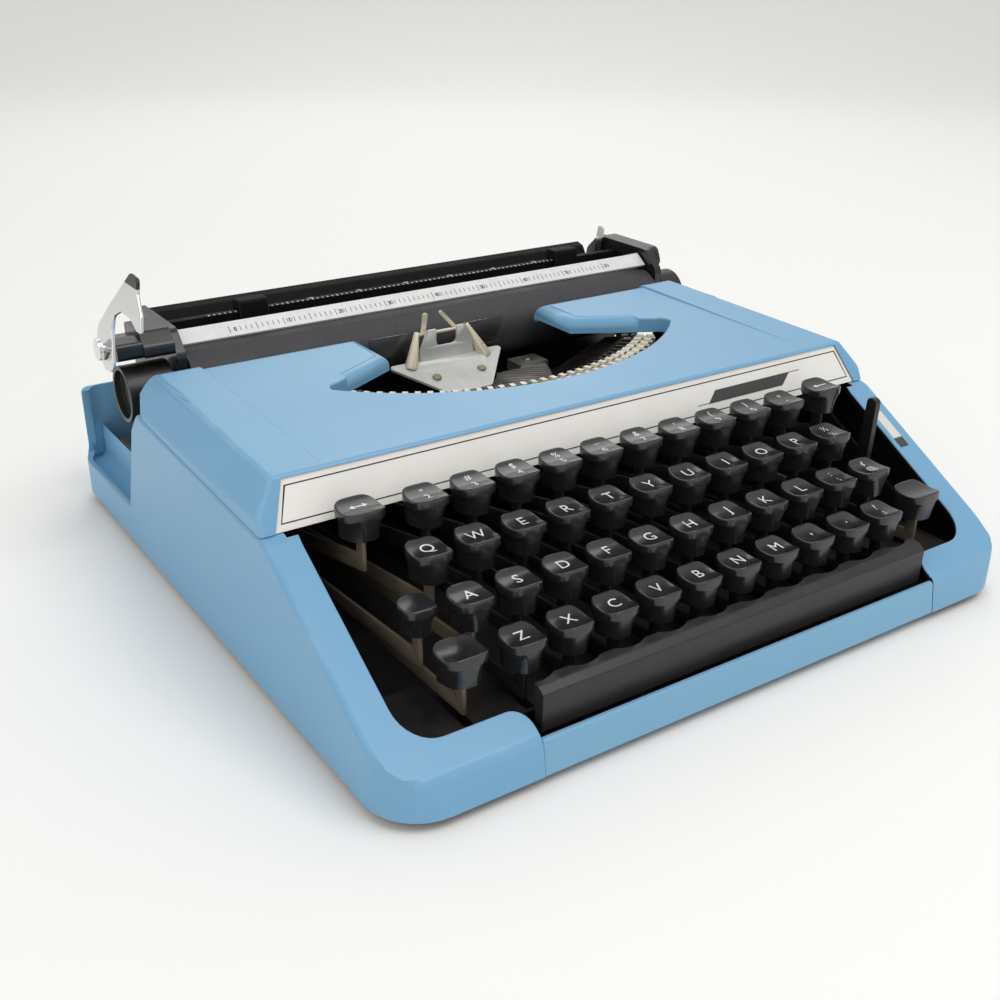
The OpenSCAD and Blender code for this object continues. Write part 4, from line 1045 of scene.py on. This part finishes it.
class TYPEWRITER_OT_basket(TypewriterOperator):
    """Dresses the frame, the slotted segment, the typebars and the guide"""

    bl_idname = "typewriter.basket"
    bl_label = "Type basket"

    def build(self):
        dress("chassis_frame", "frame_dusty")
        dress("type_segment", "steel")
        self.guide()
        self.typebars()
        self.screws()

    def guide(self):
        bm = merged_copy("type_guide")
        soften(bm, 0.15 * MM, 1)
        for face in bm.faces:
            face.material_index = self.guide_part(face.calc_center_median() / MM)
        looks = ["guide_nickel", "cone_nickel", "clear_plastic"]
        dressed_piece("type_guide", bm, looks, flat_faces=False)

    def guide_part(self, at):
        """0 for the plate and its tab, 1 for cones, bar and fingers, 2 for the clear card guides."""
        # Axis of a cone, and its radius with some room at its foot and how much less at its tip
        foot, tip, wide, taper = Vector((20.0, 52.0, 67.5)), Vector((13.1, 58.0, 82.5)), 3.6, 2.0
        # Front and inner side of the card guides, and the foot and front of the bar with its fingers
        card_y, card_x, bar_z, bar_y = 60.2, 11.5, 79.5, 55.6
        at = Vector((abs(at.x), at.y, at.z))
        if at.y > card_y and at.x > card_x:
            return 2
        share = min(max((at - foot).dot(tip - foot) / (tip - foot).length_squared, 0.0), 1.0)
        on_cone = (at - foot.lerp(tip, share)).length < wide - share * taper
        return 1 if on_cone or (at.z > bar_z and at.y > bar_y) else 0

    def typebars(self):
        """The bars in the segment's slots, and the heads with two raised types on each."""
        tree = fan_tree()
        values = {
            "Count": sizes().type_count, "Span": sizes().type_span, "Raised Span": sizes().type_raised,
            "Centre": mm(0, 66.0, 52.1), "Arc Centre": mm(4.0, 93.0, 52.1), "Arc Radius": 114.5 * MM,
            "Low Radius": 94.0 * MM, "Root": 36.0 * MM, "Length": 52.0 * MM, "Low Rise": 16.4 * MM,
            "High Rise": 22.4 * MM,
        }

        def fan(name, shape, at_rim, look):
            inputs = {**values, "Shape": shape, "At Rim": at_rim, "Finish": finish(look)}
            piece = grown_piece(name, tree, inputs, "housing")
            bpy.data.objects.remove(shape)
            return piece

        bars = fan("typebars.dressed", self.bar_shape(), 0.0, "typebar_steel")
        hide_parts("typebars")
        fan("type_heads", self.head_shape(), 1.0, "type_steel")

    def bar_shape(self):
        bm = bmesh.new()
        side = [(0, 0), (22, 0.2), (44, 21.5), (52, 22.6), (52, 26.0), (43, 26.0), (20, 5.4), (0, 5.4)]
        half = 0.4
        add_loft(bm, [[mm(x, y, z) for x, z in side] for y in (half, -half)])
        bmesh.ops.recalc_face_normals(bm, faces=bm.faces)
        return placed("bar_shape", mesh_from("bar_shape", bm))

    def head_shape(self):
        """A head and two types: ends along the bar, half width, foot, top and how far the top draws in."""
        bm = bmesh.new()
        for x0, x1, half, low, high, draw in (
            (-4.5, 4.5, 1.6, 0.0, 4.9, 0.0),
            (-4.2, -0.3, 1.45, 4.85, 6.0, 0.35),
            (0.3, 4.2, 1.45, 4.85, 6.0, 0.35),
        ):
            rings = []
            for z, inset in ((low, 0.0), (high, draw)):
                left, right, side = x0 + inset, x1 - inset, half - inset
                corners = ((left, -side), (right, -side), (right, side), (left, side))
                rings.append([mm(x, y, z) for x, y in corners])
            add_loft(bm, rings)
        return placed("head_shape", mesh_from("head_shape", bm))

    def screws(self):
        """Screws on the guide's plate and on the segment's lugs."""
        steps = 20
        turns = [2 * math.pi * i / steps for i in range(steps)]
        bm = bmesh.new()
        add_loft(bm, [
            [mm(radius * math.cos(turn), radius * math.sin(turn), z) for turn in turns]
            for radius, z in ((2.1, -0.05), (2.1, 0.55), (1.75, 1.0), (0.9, 1.15))
        ])
        screw = placed("screw_shape", mesh_from("screw_shape", bm))
        # The plate's slope, its rear edge and the screws' place on it
        slope, rear_y, rear_z, plate_x, plate_y = math.radians(22), 54.6, 70.2, 12.0, 42.5
        plate_z = rear_z - (rear_y - plate_y) * math.tan(slope)
        lug_x, lug_y, lug_z = 48.0, 57.0, 59.0
        out, up = (0, -math.sin(slope), math.cos(slope)), (0, 0, 1)
        spots = [
            ((-plate_x, plate_y, plate_z), out), ((plate_x, plate_y, plate_z), out),
            ((lug_x, lug_y, lug_z), up), ((-lug_x, lug_y, lug_z), up),
        ]
        base = bpy.data.meshes.new("screw_places")
        base.from_pydata([mm(*p) for p, _ in spots], [], [])
        facing = base.attributes.new("facing", "FLOAT_VECTOR", "POINT")
        for item, (_, way) in zip(facing.data, spots):
            item.vector = way
        values = {"Screw": screw, "Finish": finish("screw_steel")}
        grown_piece("guide_screws", screw_tree(), values, "housing", base)
        bpy.data.objects.remove(screw)


class TYPEWRITER_OT_carriage(TypewriterOperator):
    """Dresses the carriage with its platen, scales, stops and levers"""

    bl_idname = "typewriter.carriage"
    bl_label = "Carriage"

    # Millimetres: the scales' first tick, and ten ticks
    scale_x, ten = -93.5, 25.4
    # The bail's strip: middle, tilt in degrees, and the line that its ticks and figures stand on
    bail_y, bail_z, bail_tilt, bail_line = 80.0, 91.5, 35, -0.6

    def build(self):
        self.frame()
        dress("paper_table", "table_black", 0.25 * MM)
        dress("platen", "platen_rubber")
        self.knobs()
        dress("paper_bail", "scale_white", 0.2 * MM, 1)
        self.tipped("return_lever", 0.4 * MM, 124.0, "knob_black")
        self.tipped("paper_release", 0.3 * MM, 97.0, "mark_white")
        dress("margin_stop_left", "table_black", 0.4 * MM)
        dress("margin_stop_right", "table_black", 0.4 * MM)
        self.bail_scale()
        self.margin_scale()

    def frame(self):
        """The frame in black enamel, with the bright rivet of the line space lever."""
        rivet_x = -146.0
        bm = merged_copy("carriage_frame")
        soften(bm, 0.5 * MM)
        split_finish(bm, lambda face: face.calc_center_median().x < rivet_x * MM)
        dressed_piece("carriage_frame", bm, ["enamel_black", "chrome"])

    def knobs(self):
        """The knobs with their shallow flutes drawn out to a smooth round."""
        y, z, radius, depth = 79.0, 72.0, 12.0, 1.2
        bm = merged_copy("platen_knobs")
        for v in bm.verts:
            off_y, off_z = v.co.y / MM - y, v.co.z / MM - z
            off = math.hypot(off_y, off_z)
            if off > radius - depth:
                v.co.y = (y + off_y * radius / off) * MM
                v.co.z = (z + off_z * radius / off) * MM
        bmesh.ops.remove_doubles(bm, verts=bm.verts, dist=0.02 * MM)
        soften(bm, 0.35 * MM, 2, 50)
        dressed_piece("platen_knobs", bm, ["knob_black"])

    def tipped(self, node, width, height, tip):
        """A bright lever whose end above a height has another finish."""
        bm = merged_copy(node)
        soften(bm, width)
        geometry = bm.verts[:] + bm.edges[:] + bm.faces[:]
        bmesh.ops.bisect_plane(bm, geom=geometry, plane_co=mm(0, 0, height), plane_no=(0, 0, 1))
        split_finish(bm, lambda face: face.calc_center_median().z > height * MM)
        dressed_piece(node, bm, ["chrome", tip])

    def scale(self, name, body, slot, look, ticks, tens, height, place):
        """A row of ticks along a strip, with figures at the tens that are given."""
        tree = bpy.data.node_groups.get("Scale Ticks") or tick_tree()
        values = {"Count": sizes().tick_count, "Pitch": sizes().tick_pitch, "Finish": finish(look), **ticks}
        grown_piece(name + "_ticks", tree, values, body)
        bm = bmesh.new()
        for i in tens:
            add_mesh(bm, text_mesh(str(10 * i), height), partial(place, self.scale_x + self.ten * i))
        finished_piece(name + "_figures", bm, [look], body)

    def on_bail(self, x, u, lift=0.62):
        """A point over the bail's strip, u across it from its middle."""
        tilt = math.radians(self.bail_tilt)
        y = self.bail_y + u * math.cos(tilt) - lift * math.sin(tilt)
        z = self.bail_z + u * math.sin(tilt) + lift * math.cos(tilt)
        return mm(x, y, z)

    def bail_scale(self):
        beside, lift = 2.7, 0.63
        ticks = {
            "Start": self.on_bail(self.scale_x, self.bail_line), "Longer": 0.6,
            "Tick": Vector((sizes().tick_width, 2.3 * MM, 0.05 * MM)),
            "Tilt": Vector((math.radians(self.bail_tilt), 0, 0)),
        }

        def place(x, p):
            return self.on_bail(x + beside + p.x / MM, p.y / MM + self.bail_line, lift + p.z / MM)

        self.scale("bail", "bail", "frame_black", "mark_black", ticks, range(9), 2.3 * MM, place)

    def margin_scale(self):
        tick_y, figure_y, top = 102.8, 104.8, 92.03
        ticks = {
            "Start": mm(self.scale_x, tick_y, top), "Longer": 0.5, "Tick": mm(0.55, 1.3, 0.06),
            "Tilt": Vector((0, 0, 0)),
        }

        def place(x, p):
            return mm(x, figure_y, top + 0.01) + p

        self.scale("margin", "carriage", "scale_white", "mark_white", ticks, range(1, 9), 1.9 * MM, place)


class TYPEWRITER_OT_keys(TypewriterOperator):
    """Makes the letter, figure and side keys with their legends"""

    bl_idname = "typewriter.keys"
    bl_label = "Keys"

    def build(self):
        for node in sorted(n for n in NODES if n.startswith("key_")):
            key_piece(node, [LEGENDS.get(node, (node[-1].upper(),))])
        key_piece("number_keys", FIGURES)
        key_piece("shift_keys", [])
        key_piece("shift_lock", [])
        # The number of heads of the arrow on the cap
        key_piece("margin_release_key", [2])
        key_piece("backspace_key", [1])


class TYPEWRITER_OT_space_bar(TypewriterOperator):
    """Dresses the space bar"""

    bl_idname = "typewriter.space_bar"
    bl_label = "Space bar"

    def build(self):
        dress("space_bar", "bar_grey", 0.4 * MM)


class TYPEWRITER_OT_ribbon(TypewriterOperator):
    """Dresses the ribbon spools and the colour selector"""

    bl_idname = "typewriter.ribbon"
    bl_label = "Ribbon parts"

    def build(self):
        dress("ribbon_spool_left", "steel")
        dress("ribbon_spool_right", "steel")
        dress("ribbon_selector", "knob_black", 0.4 * MM)


STEPS = (
    TYPEWRITER_OT_stage,
    TYPEWRITER_OT_shell,
    TYPEWRITER_OT_cover,
    TYPEWRITER_OT_basket,
    TYPEWRITER_OT_carriage,
    TYPEWRITER_OT_keys,
    TYPEWRITER_OT_space_bar,
    TYPEWRITER_OT_ribbon,
)


class TYPEWRITER_PT_panel(bpy.types.Panel):
    """Lists the typewriter's colours, sizes and building steps"""

    bl_label = "Typewriter"
    bl_idname = "TYPEWRITER_PT_panel"
    bl_space_type = "VIEW_3D"
    bl_region_type = "UI"
    bl_category = "Typewriter"

    def draw(self, context):
        for group in (context.scene.typewriter_colours, context.scene.typewriter_sizes):
            box = self.layout.box()
            for name in group.__annotations__:
                box.prop(group, name)
        for step in STEPS:
            self.layout.operator(step.bl_idname)


CLASSES = (TypewriterColours, TypewriterSizes, *STEPS, TYPEWRITER_PT_panel)


def register():
    for each in CLASSES:
        bpy.utils.register_class(each)
    bpy.types.Scene.typewriter_colours = PointerProperty(type=TypewriterColours)
    bpy.types.Scene.typewriter_sizes = PointerProperty(type=TypewriterSizes)


def unregister():
    del bpy.types.Scene.typewriter_sizes
    del bpy.types.Scene.typewriter_colours
    for each in reversed(CLASSES):
        bpy.utils.unregister_class(each)


def main():
    register()
    bpy.ops.typewriter.stage()
    bpy.ops.typewriter.shell()
    bpy.ops.typewriter.cover()
    bpy.ops.typewriter.basket()
    bpy.ops.typewriter.carriage()
    bpy.ops.typewriter.keys()
    bpy.ops.typewriter.space_bar()
    bpy.ops.typewriter.ribbon()


if __name__ == "__main__":
    main()
